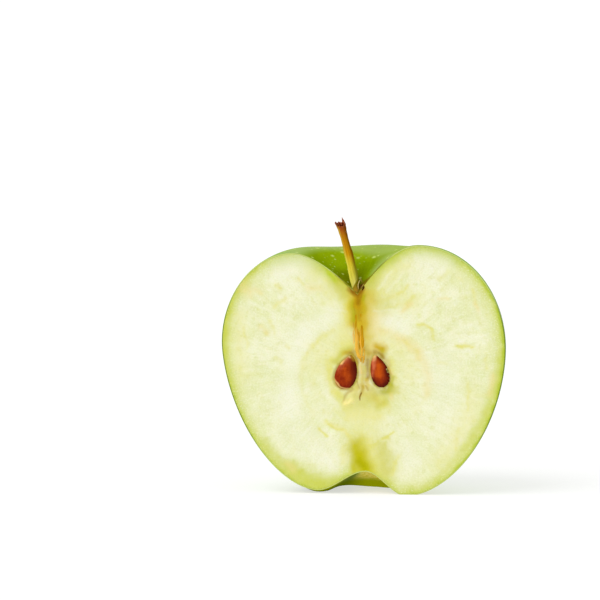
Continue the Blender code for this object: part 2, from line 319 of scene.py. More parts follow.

# Stains on the flesh, and painted shade round the seeds where the strokes are marked so: each a paint, a
# half width, a strength and a path, which is its points' places across and up. The first list's strokes fade
# softly, as a bell does, and the second's keep more of an edge. Each stroke lies over those before it.
CLOUDS = (
    (EDGE_LIME, 1.4, 0.7, -35.6, 40, -35, 46, -33.4, 51, -28.4, 58, -24.5, 60.8),
    (EDGE_LIME, 1.4, 0.7, -35.8, 41, -35.6, 34, -34.6, 28.6),
    (EDGE_LIME, 1.2, 0.48, 35.8, 37, 35, 31, 33.2, 25, 30.5, 18.6, 26, 12),
    (EDGE_LIME, 0.8, 0.2, 26, 12, 21, 6, 17, 2.6, 12.4, 1.6, 8.6, 3.4),
    (EDGE_LIME, 1.5, 0.42, -25, 13, -19.6, 7, -14.6, 3.2, -9.4, 2, -6.4, 3.6),
    (EDGE_LIME, 2.1, 0.7, -18.4, 6.8, -14, 4.2, -10.4, 3.4),
    (LEAF, 2.6, 0.46, -11, 59, -16.2, 61.2, -21.4, 60.6),
    (LEAF, 1.8, 0.42, 8, 61.4, 13, 63.2, 18.6, 62.9, 24, 60.2),
    (LEAF, 1.7, 0.78, -11.5, 59.1, -8.9, 57.6, -6.4, 55.5, -4.4, 53.6),
    (LEAF, 1.7, 0.8, 7.4, 60.6, 4.8, 58.6, 2.8, 56.6, 1.4, 54.8),
    (BEIGE, 1.7, 0.55, -31.6, 54.4, -29.2, 51.6),
    (BEIGE, 0.9, 0.5, 33.4, 30.4, 32.6, 26),
    (BEIGE, 1, 0.5, -19, 7.4, -17.4, 6),
    (WHITE, 3.6, 0.42, -6.4, 45, -10.6, 43.6, -13.6, 41.2),
    (WHITE, 3, 0.34, -15.8, 39, -18.2, 33, -18.6, 26),
    (WHITE, 2.6, 0.5, 3, 45, 6.6, 44.6, 10.4, 43),
    (WHITE, 4.5, 0.36, 20.5, 33, 21, 24),
    (WHITE, 4.5, 0.3, -19, 24, -16, 15),
    (WHITE, 2.8, 0.45, -12, 12, -8, 8),
    (WHITE, 2.6, 0.45, 12.5, 11, 12, 7),
    (WHITE, 2.8, 0.3, 15, 60.2, 21, 59),
    (PALE_STRAW, 2.2, 0.5, 11, 58.4, 8.6, 57, 5.6, 54.4),
    (PALE_STRAW, 3.2, 0.45, -12, 56.4, -9, 53, -8, 50.6),
    (PALE_STRAW, 2.2, 0.4, -31.2, 45, -31.7, 38, -30.7, 30),
    (PALE_STRAW, 2.6, 0.4, 28.5, 25, 25.6, 17, 20, 8),
    (WHITE, 3.4, 0.35, -15, 60, -21, 57.5),
    (PALE_STRAW, 3, 0.4, -5, 40.6, -9.6, 37.6, -11.4, 33),
    (PALE_STRAW, 3, 0.14, -12.6, 30, -11.6, 24, -8, 19.6),
    (PALE_STRAW, 4.6, 0.42, 0.6, 22, 0.8, 16),
    (PALE_STRAW, 3.2, 0.34, 5, 39.6, 9.4, 36.6, 12.4, 32),
    (PALE_STRAW, 3, 0.12, 12.5, 28, 11.4, 23),
    (STRAW, 0.65, 0.3, -7.4, 41.4, -9.6, 40.4, -12.2, 38.2, -14.2, 35.4, -15.2, 32.4),
    (STRAW, 0.55, 0.16, -15.2, 32.4, -15.6, 28, -14.6, 23.6, -12, 20.2),
    (STRAW, 0.7, 0.26, -9.4, 40.6, -11.4, 39, -13, 37.2),
    (STRAW, 0.5, 0.14, 9.9, 17.7, 14.2, 21, 16.6, 26),
    (BEIGE, 1.1, 0.34, 3, 42.4, 7, 41.4, 10.6, 39.6, 13.2, 37.8),
    (BEIGE, 1.4, 0.5, 10, 39.4, 13, 37.6, 14.6, 35.6),
    (BEIGE, 1.1, 0.4, 14.6, 36, 16.4, 33, 17, 29.4, 16.4, 25.4),
    (STRAW, 0.5, 0.24, 10.6, 39.2, 13, 37.8, 14.2, 36),
    (PALE_STRAW, 3, 0.48, 3.6, 49.6, 8, 50.6, 12.6, 49.6),
    (STRAW, 0.5, 0.55, 9.4, 51.2, 11.8, 53.2),
    (STRAW, 0.6, 0.5, 11.4, 48.6, 13.4, 50.6),
    (BEIGE, 0.7, 0.6, 10.4, 46.8, 12.2, 48.8),
    (STRAW, 0.4, 0.34, 5.6, 49.6, 8.6, 51),
    (STRAW, 0.4, 0.34, 6.4, 47.4, 9.4, 48.4),
    (STRAW, 2.2, 0.72, 0.8, 50.4, 3, 50.8),
    (SAND, 2.2, 0.72, 1.2, 50, 2, 46.4),
    (DRAB, 2.6, 0.55, 3.6, 48.8, 5.6, 48),
    (GOLD, 1.3, 0.45, 0.8, 51.4, 2.2, 51, 2.6, 49.6),
    (BEIGE, 2.8, 0.55, 2.6, 45, 3.2, 41, 3, 37.4),
    (SAND, 1.7, 0.78, 0.9, 46, 1.2, 42, 1.4, 39, 1.6, 36.6),
    (STRAW, 2.2, 0.45, -3.6, 51, -6.6, 55.6),
    (STRAW, 1.8, 0.78, -3, 50, -3.6, 45),
    (PALE_STRAW, 2, 0.6, -4.4, 43, -3.8, 39),
    (LIME, 0.9, 0.88, -8.3, 56, -6.6, 54.6),
    (LIME, 0.5, 0.45, -9.6, 58, -8.6, 57),
    (STRAW, 1.4, 0.2, 7.5, 58.8, 4.4, 56.4, 2.4, 54),
    (DULL, 2.6, 0.66, -3.4, 51.6, -5.4, 53.2),
    (DULL, 2, 0.6, 0.8, 53, 2.8, 54.4),
    (WHITE, 0.42, 0.3, 4.2, 52.4, 7.6, 56.8),
    (WHITE, 0.4, 0.26, 6.4, 51.8, 9.8, 55.8),
    (WHITE, 0.36, 0.24, 3.4, 46.8, 9.6, 47.2),
    (WHITE, 0.36, 0.24, -3.8, 46.6, -9.6, 47.2),
    (STRAW, 0.6, 0.46, -22.2, 53.2, -20.6, 52.4),
    (BEIGE, 0.7, 0.5, -27.2, 51.8, -25.8, 51.2),
    (STRAW, 0.5, 0.38, -16, 54.8, -15, 53.6),
    (BEIGE, 1.1, 0.34, -13.8, 52.6, -10.8, 52.4),
    (STRAW, 0.6, 0.46, -19.6, 49.8, -21, 49, -22, 47.6),
    (STRAW, 0.55, 0.46, -23.4, 43.8, -22.6, 42.4, -22.4, 40.8),
    (BEIGE, 0.8, 0.42, -25.6, 42.6, -24.4, 41),
    (STRAW, 0.5, 0.34, -30.4, 42, -29.6, 39.6, -29.2, 37),
    (STRAW, 0.4, 0.42, -19.4, 37.8, -18.4, 37.2),
    (STRAW, 0.55, 0.4, -21.8, 34.6, -20.6, 33.6),
    (STRAW, 0.6, 0.3, 19.4, 55, 21.8, 57),
    (STRAW, 0.45, 0.32, 24.4, 55.6, 25.4, 55),
    (STRAW, 0.4, 0.42, 18, 49.8, 18.6, 49),
    (BEIGE, 0.45, 0.45, 19.6, 50.2, 22, 50),
    (STRAW, 0.5, 0.36, 28.2, 52.4, 29, 49),
    (BEIGE, 0.5, 0.5, 29, 49, 29.6, 47),
    (STRAW, 0.48, 0.62, 14.3, 43.6, 15.8, 43.4, 17.6, 42.5),
    (STRAW, 0.48, 0.56, 17.8, 42, 18.3, 40.6, 18.2, 39.6),
    (STRAW, 0.45, 0.8, 24.4, 38.2, 26.4, 37.9, 28.2, 38),
    (STRAW, 0.5, 0.3, 19.6, 33.8, 21.6, 33.6),
    (STRAW, 0.45, 0.4, 27.2, 28.6, 27.1, 25, 26.9, 21.8),
    (STRAW, 0.5, 0.26, 24.6, 17.2, 24, 11.5),
    (STRAW, 0.55, 0.34, 31.4, 34.6, 31.6, 32.6),
    (STRAW, 0.36, 0.75, -10.8, 16.7, -9.9, 15.7, -8.9, 14.6),
    (PALE_STRAW, 0.6, 0.8, -9.3, 18.4, -7, 17.1, -4.7, 16.5, -3.2, 14.9, -2.4, 13.4),
    (STRAW, 0.34, 0.55, -8.4, 17.6, -6.6, 16.6, -5, 16.2),
    (STRAW, 0.38, 0.75, 8.3, 15.9, 6.9, 15, 5.4, 14.2),
    (STRAW, 0.3, 0.45, 5.4, 14.2, 3.6, 13, 1.8, 12.3),
    (STRAW, 0.3, 0.4, -1.8, 12.6, 0, 12.2, 1.8, 12.3),
    (PALE_STRAW, 0.8, 0.55, -4.7, 11.8, -4.9, 8),
    (DRAB, 2.8, 0.85, 5, 11.4, 6, 6.6),
    (STRAW, 0.6, 0.45, 9.4, 9.6, 8.2, 7.2, 7.8, 5),
    (STRAW, 3, 0.95, 0, 12.4, 1.4, 6),
    (TUBE, 2.1, 0.72, -1.4, 12.6, -0.8, 10, 0.6, 6.6),
    (TUBE, 1.9, 0.92, -0.6, 9.8, 0.2, 7.4, 1.2, 5.6),
    (TUBE, 0.8, 0.6, -1.8, 12, -1.9, 7.6, -2.3, 6),
    (OLIVE, 1.1, 0.8, -0.4, 8.2, 0.8, 6.4),
    (STRAW, 1.4, 0.7, -8, 33.6, -8.3, 29.6, -6.8, 26),
    (STRAW, 1.9, 0.7, -6.6, 34.4, -4.4, 37, -2.8, 37.8),
    (STRAW, 1.4, 0.7, -6, 26, -4.9, 23.4, -3.4, 22),
    (PALE_STRAW, 2.4, 0.75, -3, 20.6, 4, 20.6),
    (STRAW, 1.6, 0.8, 3.1, 25, 4.4, 23, 5.6, 23.4),
    (STRAW, 1.2, 0.62, 7.4, 33.6, 8.1, 30, 7.5, 26.4),
    (BEIGE, 1.4, 0.65, 2.2, 36.6, 4.6, 36.8),
    (GOLD, 1.1, 0.85, 3.8, 37.8, 5.2, 37.2),
    (OCHRE, 0.7, 0.55, 4, 37.5, 4.9, 37.2),
    (OLIVE, 0.8, 0.45, 5, 36.7, 5.8, 35.8),
    # Painted shade in the pocket at the left seed's upper left and by its tip, this stroke and the next.
    (DULL, 1, 0.7, -6.4, 33.7, -5.2, 35.5, -3.4, 36.9),
    (GOLD, 0.7, 0.5, -4.6, 35.7, -3.4, 36.5, -2.5, 37),
    (YELLOW, 1.3, 0.62, -3, 48.6, -3.1, 45.6, -2.6, 43.4),
    (GOLD, 2.1, 0.78, -1.2, 51.4, -1.1, 46, -0.9, 43),
    (OCHRE, 1.35, 0.92, -0.9, 51.6, -1.1, 46, -0.9, 43.4),
    (GOLD, 1.3, 0.85, -0.9, 43.8, -0.8, 39, -0.5, 36),
    (OLIVE, 0.8, 0.7, -2.3, 49, -2.1, 46, -1.9, 44.6),
    (OLIVE, 0.8, 0.8, 0.35, 50.4, 0.3, 46.6),
    (OCHRE, 0.6, 0.55, -0.1, 49, 0.1, 44, 0.2, 40.6),
    (GOLD, 0.8, 0.55, 0.8, 48.4, 0.7, 44, 0.6, 40),
    # Painted shadow round the right seed's left and top edges and its upper right, this stroke and the next
    # two.
    (TAN, 0.95, 0.58, 0.9, 37.4, 1.6, 36, 1.3, 34, 1.2, 31.4, 1.5, 29.6),
    (TAN, 0.6, 0.46, 1.8, 36, 3, 36.2),
    (TAN, 0.6, 0.45, 5.3, 35.6, 6.3, 34.2, 6.9, 32.8),
    # Painted shade over the left seed's tip, beside the strands and down the seed's right side, this stroke
    # and the next two.
    (TAN, 0.7, 0.62, -3.8, 36, -2.4, 36.3, -1.7, 35, -1.2, 33.6),
    (UMBER, 0.5, 0.55, -2.7, 36, -2, 35.2, -1.4, 34),
    (SEPIA, 0.5, 0.6, -1.3, 33.8, -1, 31, -1.2, 28.2, -1.2, 27),
    (CREAM, 0.8, 0.9, 0.1, 32.6, 0.1, 30.4, 0.2, 27.4),
    (STRAW, 0.9, 0.6, -1.3, 29.2, -1.6, 27),
    (GOLD, 0.7, 0.45, 0.3, 27.8, 0.1, 26.4, -0.1, 25),
    (GOLD, 0.55, 0.5, 1.3, 29.4, 1.4, 27.4),
    (OCHRE, 0.5, 0.8, 0, 35, 0.25, 33.7),
    # Painted shadow at the right seed's left edge.
    (UMBER, 0.5, 0.45, 2, 34.2, 1.8, 32, 2, 29.8),
    (SAND, 1.9, 0.62, -2, 26, 0.4, 25, 2.2, 26.2),
    (DRAB, 2.2, 0.62, -3, 24, 1, 23.6),
    (DRAB, 1.7, 0.7, 3.6, 24.8, 6.2, 25, 8.4, 26.6),
    (GREY, 0.8, 0.42, 2.8, 26.9, 3.9, 26.2, 5, 25.9),
    # Painted shade in the pocket under and beside the right seed's lower right, this stroke and the next.
    (OLIVE, 0.9, 0.74, 5.4, 26.4, 6.7, 26.3, 7.3, 27.8),
    (DULL, 0.5, 0.5, 7.5, 30.8, 7.8, 29.4, 7.8, 27.8),
    (OLIVE, 0.5, 0.45, 7.6, 28, 8, 30),
    (GOLD, 0.7, 0.2, 3.2, 24.6, 4.2, 23.2, 5.6, 23.4),
    (DULL, 0.9, 0.45, 4.2, 22.4, 5.4, 22.7, 6.2, 23.8),
    (PALE_STRAW, 0.7, 0.8, -3.6, 24.9, -2.7, 26),
    (SEPIA, 0.34, 0.42, -2.4, 27, -3.5, 26, -4.4, 25, -4.5, 23.7),
    (BUTTER, 0.8, 0.9, -4, 23.2, -3.2, 23.2, -2.6, 24),
    (SEPIA, 0.34, 0.45, 0.1, 27.7, 0, 26.2, -0.3, 25),
    (PEACH, 0.5, 0.5, 6.9, 32.2, 7.3, 31.2),
    (PEACH, 0.5, 0.2, 7.4, 25.4, 7.8, 24.4),
)
TOUCHES = (
    # Painted shade in the pocket over the right seed's top, this touch and the next.
    (SEPIA, 0.6, 0.66, 3.4, 36.2, 4.6, 36, 5.6, 35.1),
    (DARK_OLIVE, 0.34, 0.34, 4.2, 36, 5, 35.6, 5.4, 35.1),
    (STRAW, 0.3, 0.5, 0.75, 32.4, 0.85, 29.4),
    (PEACH, 0.26, 0.35, -0.35, 33, -0.3, 31),
    (SEPIA, 0.24, 0.4, 0.9, 27.8, 1.6, 26.7),
    (SEPIA, 0.24, 0.4, -1, 28.6, -0.7, 27),
    (BROWN, 0.2, 0.75, -0.12, 25.6, -0.38, 24.8, -0.36, 24.1),
    (OLIVE, 0.4, 0.5, -6.6, 55.9, -5.2, 54.5, -3.8, 53),
    (DARK_BROWN, 0.22, 0.75, -4.5, 53.9, -3.6, 53, -2.8, 52.2, -2.3, 51.6),
    (OCHRE, 1.1, 0.85, -1.3, 51.4, -1.1, 49.4, -1, 48),
    (SEPIA, 0.6, 0.7, -3.3, 52.2, -2.6, 51.4, -2, 50.8),
    (BROWN, 0.7, 0.8, -2.2, 51.7, -1.2, 51.4, -0.2, 51.8, 0.2, 52.4),
    (BROWN, 0.5, 0.55, -1.2, 51, -1.1, 49.4, -1, 48.6),
    (BROWN, 0.34, 0.45, -0.3, 50.8, -0.4, 48.6),
    (SEPIA, 0.22, 0.4, -0.75, 48, -0.7, 46, -0.6, 44),
    (SEPIA, 0.2, 0.35, -1.9, 48.6, -1.8, 46, -1.7, 44),
    (LEAF, 0.8, 0.86, 30.6, 55.6, 33.2, 51.4, 35, 47.3, 36.1, 43.2, 36.6, 39, 36.5, 35, 36.1, 31),
    (LEAF, 0.66, 0.78, 36.1, 31, 35.2, 26.9, 34.1, 22.8, 32.6, 18.7, 30.7, 14.6, 28, 10.5, 24.3, 6.4),
)

# Hollows and ridges of the cut face: depth, half width and path. A ridge's depth is negative.
DENTS = (
    (0.07, 1.3, -1.1, 44, -0.9, 40, -0.3, 35.5),
    (-0.2, 0.7, 0.1, 33, 0.1, 28.6),
    (0.25, 0.2, -0.1, 25.8, -0.4, 24.4),
    (0.07, 0.3, -2.5, 26.9, -3.5, 26, -4.3, 25.1, -4.5, 23.9),
    (-0.2, 0.45, -4.2, 23.1, -3.3, 23, -2.7, 23.7),
    (0.24, 0.9, 3, 26.6, 4.4, 25.4, 6.2, 26.2),
    (0.2, 1.1, 3.6, 24.6, 4.8, 23),
    (0.22, 2.2, 0.2, 12, 0.8, 6),
    (0.35, 0.45, 1.6, 34.2, 1.5, 32, 1.7, 29.6),
    (0.3, 0.5, -1.9, 36.4, -1.4, 34.6),
    (0.1, 0.7, 3.4, 36.2, 5.4, 35.4),
)

# The waves that push the strokes about: length, reach and a turn of their direction.
RIPPLES = ((3.7, 0.15, 0.4), (1.5, 0.06, 1.7))


def rippled(across, up):
    """Places pushed about by crossing sine waves, each read where the one before has pushed them, so
    that strokes get ragged edges."""
    for length, reach, turn in RIPPLES:
        along = (across * math.cos(turn) + up * math.sin(turn)) * 2 * np.pi / length
        beside = (up * math.cos(turn) - across * math.sin(turn)) * 2 * np.pi / length
        across, up = across + reach * np.sin(beside + turn), up + reach * np.sin(along + 2 * turn)
    return across, up


def lay(colour, cover, shade, touch):
    """Lays one more paint, a stain or painted light or shade, over what is painted at places, by as much as
    touch says there.
    """
    over = touch[..., None]
    return colour * (1 - over) + over * np.array(shade[:3]), 1 - (1 - cover) * (1 - touch)


def painted(across, up, clouds, touches, colour=0.0, cover=0.0):
    """The paint that strokes leave at places, and how much of what is under it they cover. A soft
    stroke covers exp(-(d / w)^2) at a distance d, and a touch, which keeps more of an edge,
    exp(-(d / w)^3)."""
    across, up = rippled(across, up)
    colour = colour + np.zeros((*across.shape, 3))
    cover = cover + np.zeros(across.shape)
    for power, drawn in ((2, clouds), (3, touches)):
        for shade, width, strength, *path in drawn:
            touch = strength * np.exp(-((distance_to(across, up, path) / width) ** power))
            colour, cover = lay(colour, cover, shade, touch)
    return colour, cover


# The seeds, as the solids have them: name, node, length, width, lowest point and how far the tip
# bends.
SEEDS = (
    ("left_seed", "seed_left", 8.9, 5.85, (-4.40, 0.5, 26.7), 1.65),
    ("right_seed", "seed_right", 8.4, 5.0, (4.95, 0.5, 27.25), -1.65),
)
SEED_THICKNESS = 2.7
SEED_FULLNESS = 0.88
SEED_TURNS = 97
SEED_STEPS = 121

# The pocket that holds a seed: its depth under the seed and at the seed's outline, and how far its
# lip reaches outside and inside that outline.
POCKET_DEPTH = 0.8
POCKET_LIP_DEPTH = 0.20
POCKET_LIP = 0.75
POCKET_WALL = 0.60

# The painted shade on the flesh beside a seed: its paint, reach and strength.
SEED_SHADE = paint(190, 168, 40)
SEED_SHADE_REACH = 0.85
SEED_SHADE_STRENGTH = 0.70


def seed_half_width(share, width):
    """Half a seed's width at a share of its length: a circle's, narrowed towards the tip by the
    fourth root of the distance to it, and divided by a fullness near that curve's greatest value."""
    ring = np.sqrt(np.clip(4 * share * (1 - share), 0, 1))
    return ring * np.clip(1 - share, 0, 1) ** 0.25 / SEED_FULLNESS * width / 2


def seed_distance(across, up, seed):
    """How far places lie outside a seed's outline, in millimetres, and less than 0 inside it."""
    _, _, length, width, low, bend = seed
    share = np.clip((up - low[2]) / length, 0.02, 0.98)
    beside = np.abs(across - low[0] - bend * share**2) - seed_half_width(share, width)
    above = np.abs(up - low[2] - share * length)
    outside = np.hypot(np.clip(beside, 0, None), above)
    return np.where(above > 0, outside, beside)


def seed_shade(across, up, colour, cover):
    """Lays a soft olive band of painted shade round each seed over the stains, strongest at its outline."""
    for seed in SEEDS:
        touch = SEED_SHADE_STRENGTH * smooth(SEED_SHADE_REACH, 0, seed_distance(across, up, seed))
        colour, cover = lay(colour, cover, SEED_SHADE, touch)
    return colour, cover


def face_relief(across, up):
    """How deep the cut face lies under its plane, in millimetres: a pocket whose lip dips to each
    seed's outline, the hollows and ridges, and a gentle waviness left by the knife, which is a sum
    of sine waves."""
    deep = 0.05 * np.sin(across * 0.31 + 1.0) * np.sin(up * 0.23) + 0.02 * np.sin(across * 0.9 + up * 0.7)
    for depth, width, *path in DENTS:
        deep = deep + depth * np.exp(-((distance_to(across, up, path) / width) ** 2))
    for seed in SEEDS:
        away = seed_distance(across, up, seed)
        lip = POCKET_LIP_DEPTH * smooth(POCKET_LIP, 0, away)
        under = (POCKET_DEPTH - POCKET_LIP_DEPTH) * smooth(0, -POCKET_WALL, away)
        deep = deep + lip + under
    return deep


def face_grid():
    """The cut face as rings round a centre: each ring is the rim drawn in towards the centre by the
    same share. Gives the points and how far each lies from the peel, in millimetres."""
    sides = layer(np.array([0.0, np.pi]), PEEL_THICKNESS)
    rim = np.concatenate([sides[0], sides[1][-2::-1]])
    rim_x = (rim[:, 0] - CORE_X) / MM
    rim_z = rim[:, 2] / MM
    out_x, out_z = rim_x - FACE_CENTRE[0], rim_z - FACE_CENTRE[1]
    run_x, run_z = np.gradient(rim_x), np.gradient(rim_z)
    reach = np.abs(out_x * run_z - out_z * run_x) / np.maximum(np.hypot(run_x, run_z), 1e-9)

    share = np.linspace(0, 1, FACE_RINGS + 1)[None] ** RING_SPREAD
    across = FACE_CENTRE[0] + out_x[:, None] * share
    up = FACE_CENTRE[1] + out_z[:, None] * share
    to_peel = reach[:, None] * (1 - share)
    deep = face_relief(across, up) * smooth(0, LEVEL_RIM, to_peel)
    return placed(across, deep, up), to_peel


class Mixer:
    """Adds nodes to one material, so that each line of it can be read as a step of mixing paint."""

    def __init__(self, name, roughness, specular=0.5):
        self.material = bpy.data.materials.new(name)
        self.material.use_nodes = True
        self.tree = self.material.node_tree
        self.shader = self.tree.nodes["Principled BSDF"]
        self.fix(Roughness=roughness, Specular_IOR_Level=specular)

    def fix(self, **values):
        """Sets inputs of the shader to constants."""
        for key, value in values.items():
            self.shader.inputs[key.replace("_", " ")].default_value = value

    def add(self, kind, settings=(), **values):
        """A node with settings, and with inputs given as a value or as the socket to link."""
        made = self.tree.nodes.new(kind)
        for key, value in dict(settings).items():
            setattr(made, key, value)
        for key, value in values.items():
            self.feed(made.inputs[key.replace("_", " ")], value)
        return made

    def feed(self, socket, value):
        """Gives a socket its value, or links it to the socket that makes the value."""
        if isinstance(value, bpy.types.NodeSocket):
            self.tree.links.new(value, socket)
        else:
            socket.default_value = value

    def mark(self, name):
        """A number that the mesh carries."""
        return self.add("ShaderNodeAttribute", {"attribute_name": name}).outputs["Fac"]

    def vector(self, name):
        """A vector that the mesh carries."""
        return self.add("ShaderNodeAttribute", {"attribute_name": name}).outputs["Vector"]

    def place(self):
        """The place on the piece, in metres."""
        return self.add("ShaderNodeTexCoord").outputs["Object"]

    def warped(self, place):
        """A place pushed about by fine noise, so that a round pattern read there turns ragged."""
        push = self.add("ShaderNodeTexNoise", Vector=place, Scale=1 / (0.6 * MM), Detail=1.0)
        centred = self.add("ShaderNodeVectorMath", {"operation": "MULTIPLY_ADD"})
        self.feed(centred.inputs[0], push.outputs["Color"])
        self.feed(centred.inputs[1], (0.3 * MM,) * 3)
        self.feed(centred.inputs[2], place)
        return centred.outputs["Vector"]

    def maths(self, operation, first, second=0.0, third=0.0):
        """One sum on up to three numbers."""
        made = self.add("ShaderNodeMath", {"operation": operation})
        for socket, value in zip(made.inputs, (first, second, third)):
            self.feed(socket, value)
        return made.outputs[0]

    def plus(self, first, second):
        """The sum of two numbers."""
        return self.maths("ADD", first, second)

    def times(self, first, second):
        """The product of two numbers."""
        return self.maths("MULTIPLY", first, second)

    def remainder(self, share):
        """What a share leaves of the whole."""
        return self.maths("SUBTRACT", 1.0, share)

    def centred(self, value, size):
        """A number from 0 to 1 as one of a size to both sides of 0: size (value - 1/2)."""
        return self.maths("MULTIPLY_ADD", value, size, -size / 2)

    def noise(self, vector, size, detail=3.0):
        """Soft noise with blotches of a size, in the vector's own unit."""
        made = self.add("ShaderNodeTexNoise", Vector=vector, Scale=1 / size, Detail=detail, Roughness=0.55)
        return made.outputs["Fac"]

    def spread(self, value, low, high):
        """A number stretched so that low becomes 0 and high becomes 1, and held there."""
        made = self.add("ShaderNodeMapRange", {"clamp": True, "interpolation_type": "SMOOTHSTEP"})
        for key, given in (("Value", value), ("From Min", low), ("From Max", high)):
            self.feed(made.inputs[key], given)
        return made.outputs["Result"]

    def blend(self, share, under, over, way="MIX"):
        """One colour laid over another by a share."""
        made = self.add("ShaderNodeMix", {"data_type": "RGBA", "blend_type": way, "clamp_factor": True})
        for place, value in ((0, share), (6, under), (7, over)):
            self.feed(made.inputs[place], value)
        return made.outputs[2]

    def wash(self, under, over, value, low, high, share):
        """One colour over another where a number goes from low to high, by at most a share."""
        return self.blend(self.times(self.spread(value, low, high), share), under, over)

    def marked(self, under, over, name, share):
        """One colour over another where a mark of the mesh says so, by at most a share."""
        return self.blend(self.times(self.mark(name), share), under, over)

    def ramp(self, value, *stops):
        """A colour that goes through stops, each a place and a paint, as a number goes from 0 to 1."""
        made = self.add("ShaderNodeValToRGB", Fac=value)
        band = made.color_ramp
        while len(band.elements) < len(stops):
            band.elements.new(1.0)
        for element, (place, *colour) in zip(band.elements, stops):
            element.position = place
            element.color = paint(*colour)
        return made.outputs["Color"]

    def streaks(self):
        """Streaks along the grain that the mesh carries, from the group that the finishes share."""
        made = self.add("ShaderNodeGroup", {"node_tree": STREAKS}, Vector=self.vector("grain"))
        return made.outputs["Streak"]

    def painted_over(self, colour, noise):
        """A colour under the painted stains, light and shade that the mesh carries, which are paint times
        cover.
        Noise makes them patchy where they cover about half: cover + 3 cover (1 - cover) (noise - 1/2)."""
        cover = self.mark("stain_light_shade_cover")
        patchy = self.times(self.times(cover, self.remainder(cover)), self.centred(noise, 3.0))
        whole = self.add("ShaderNodeVectorMath", {"operation": "SCALE"})
        self.feed(whole.inputs[0], self.vector("stain_light_shade"))
        self.feed(whole.inputs["Scale"], self.maths("DIVIDE", 1.0, self.maths("MAXIMUM", cover, 0.001)))
        return self.blend(self.plus(cover, patchy), colour, whole.outputs["Vector"])

    def finish(self, colour, height, bump, strength=1.0, roughness=None):
        """Feeds the shader: its colour, a height for its bump, in metres, and a roughness."""
        self.feed(self.shader.inputs["Base Color"], colour)
        if roughness is not None:
            self.feed(self.shader.inputs["Roughness"], roughness)
        made = self.add("ShaderNodeBump", Height=height, Distance=bump, Strength=strength)
        self.feed(self.shader.inputs["Normal"], made.outputs["Normal"])
        return self.material


def streak_group():
    """Streaks: noise read from a vector whose third part changes slowly along them, so that the
    noise's blotches are drawn out."""
    group = bpy.data.node_groups.new("streaks", "ShaderNodeTree")
    group.interface.new_socket("Vector", in_out="INPUT", socket_type="NodeSocketVector")
    group.interface.new_socket("Streak", in_out="OUTPUT", socket_type="NodeSocketFloat")
    given = group.nodes.new("NodeGroupInput")
    noise = group.nodes.new("ShaderNodeTexNoise")
    made = group.nodes.new("NodeGroupOutput")
    noise.inputs["Scale"].default_value = 1.0
    noise.inputs["Detail"].default_value = 4.0
    group.links.new(given.outputs["Vector"], noise.inputs["Vector"])
    group.links.new(noise.outputs["Fac"], made.inputs["Streak"])
    return group


STREAKS = streak_group()


def flesh_finish():
    """Moist pale flesh: cream with greener and yellower clouds, faint broken rays from the core, a
    green edge under the peel, and the painted stains and the painted shade round the seeds, which
    fine grain breaks up."""
    mix = Mixer("flesh", 0.5, specular=0.04)
    place = mix.place()
    rays = mix.streaks()
    clouds = mix.noise(place, 7.0 * MM)
    mottle = mix.noise(place, 1.7 * MM, detail=4.0)
    grain = mix.noise(place, 0.42 * MM, detail=2.0)

    colour = mix.blend(mix.spread(clouds, 0.36, 0.64), paint(230, 233, 182), paint(239, 240, 204))
    colour = mix.wash(colour, paint(219, 221, 142), mottle, 0.52, 0.70, 0.44)
    colour = mix.wash(colour, paint(245, 243, 220), mottle, 0.46, 0.30, 0.35)
    colour = mix.wash(colour, paint(218, 221, 146), rays, 0.50, 0.72, 0.26)
    colour = mix.wash(colour, paint(246, 246, 224), rays, 0.48, 0.28, 0.28)

    wander = mix.centred(mix.noise(place, 2.8 * MM), 2.2)
    from_peel = mix.plus(mix.mark("to_peel"), wander)
    edge = mix.ramp(
        mix.maths("DIVIDE", from_peel, 6.0),
        (0, 190, 204, 82),
        (0.07, 205, 214, 106),
        (0.2, 215, 221, 136),
        (0.5, 224, 228, 162),
        (1, 234, 236, 188),
    )
    colour = mix.blend(mix.remainder(mix.spread(from_peel, 0.4, 5.0)), colour, edge)

    bare = mix.remainder(mix.mark("stain_light_shade_cover"))
    light = mix.times(mix.spread(grain, 0.52, 0.70), mix.times(bare, 0.30))
    colour = mix.blend(light, colour, paint(251, 252, 238))
    colour = mix.painted_over(colour, mix.plus(mottle, mix.centred(grain, 0.5)))
    tint = mix.ramp(grain, (0.3, 224, 225, 196), (0.48, 253, 253, 250), (0.7, 255, 255, 255))
    colour = mix.blend(0.22, colour, tint, "MULTIPLY")

    mix.fix(Subsurface_Weight=0.25, Subsurface_Radius=(1.0, 0.8, 0.35), Subsurface_Scale=0.8 * MM)
    height = mix.plus(mix.times(rays, 0.5), mix.times(grain, 0.7))
    return mix.finish(colour, height, 0.10 * MM, 0.6)


def build_flesh():
    """The flesh: the cut face and the layer under the peel, as one closed body."""
    face, to_peel = face_grid()
    back = layer(np.linspace(0, np.pi, BACK_COLUMNS), PEEL_THICKNESS)
    across = (face[..., 0] - CORE_X) / MM
    up = face[..., 2] / MM
    # The stains and the painted pocket shade, then the painted shade round the seeds, then the touches.
    stain_light_shade, cover = seed_shade(across, up, *painted(across, up, CLOUDS, ()))
    stain_light_shade, cover = painted(across, up, (), TOUCHES, stain_light_shade, cover)
    none = np.zeros(back.shape[:2])
    marks = (
        {"to_peel": to_peel, "stain_light_shade": stain_light_shade, "stain_light_shade_cover": cover, "grain": ray_grain(face)},
        {"to_peel": none, "stain_light_shade": np.zeros(back.shape), "stain_light_shade_cover": none, "grain": ray_grain(back)},
    )
    piece = solid("flesh_cut", [face, back], flesh_finish(), marks)
    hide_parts("flesh")


# Specks on the peel: their spacing in millimetres, their greatest radius as a share of it, and
# whether they show only where the peel is marked as crowded.
SPECKLES = ((2.1, 0.27, False), (1.25, 0.25, True))

# Pale spots on the hollow's wall, as places in millimetres from the core axis and the cut.
SPOT_SIZE = 0.52 * MM
SPOTS = ((0.2, 12.0, 59.2), (4.1, 11.4, 59.2), (-5.4, 9.0, 58.6))


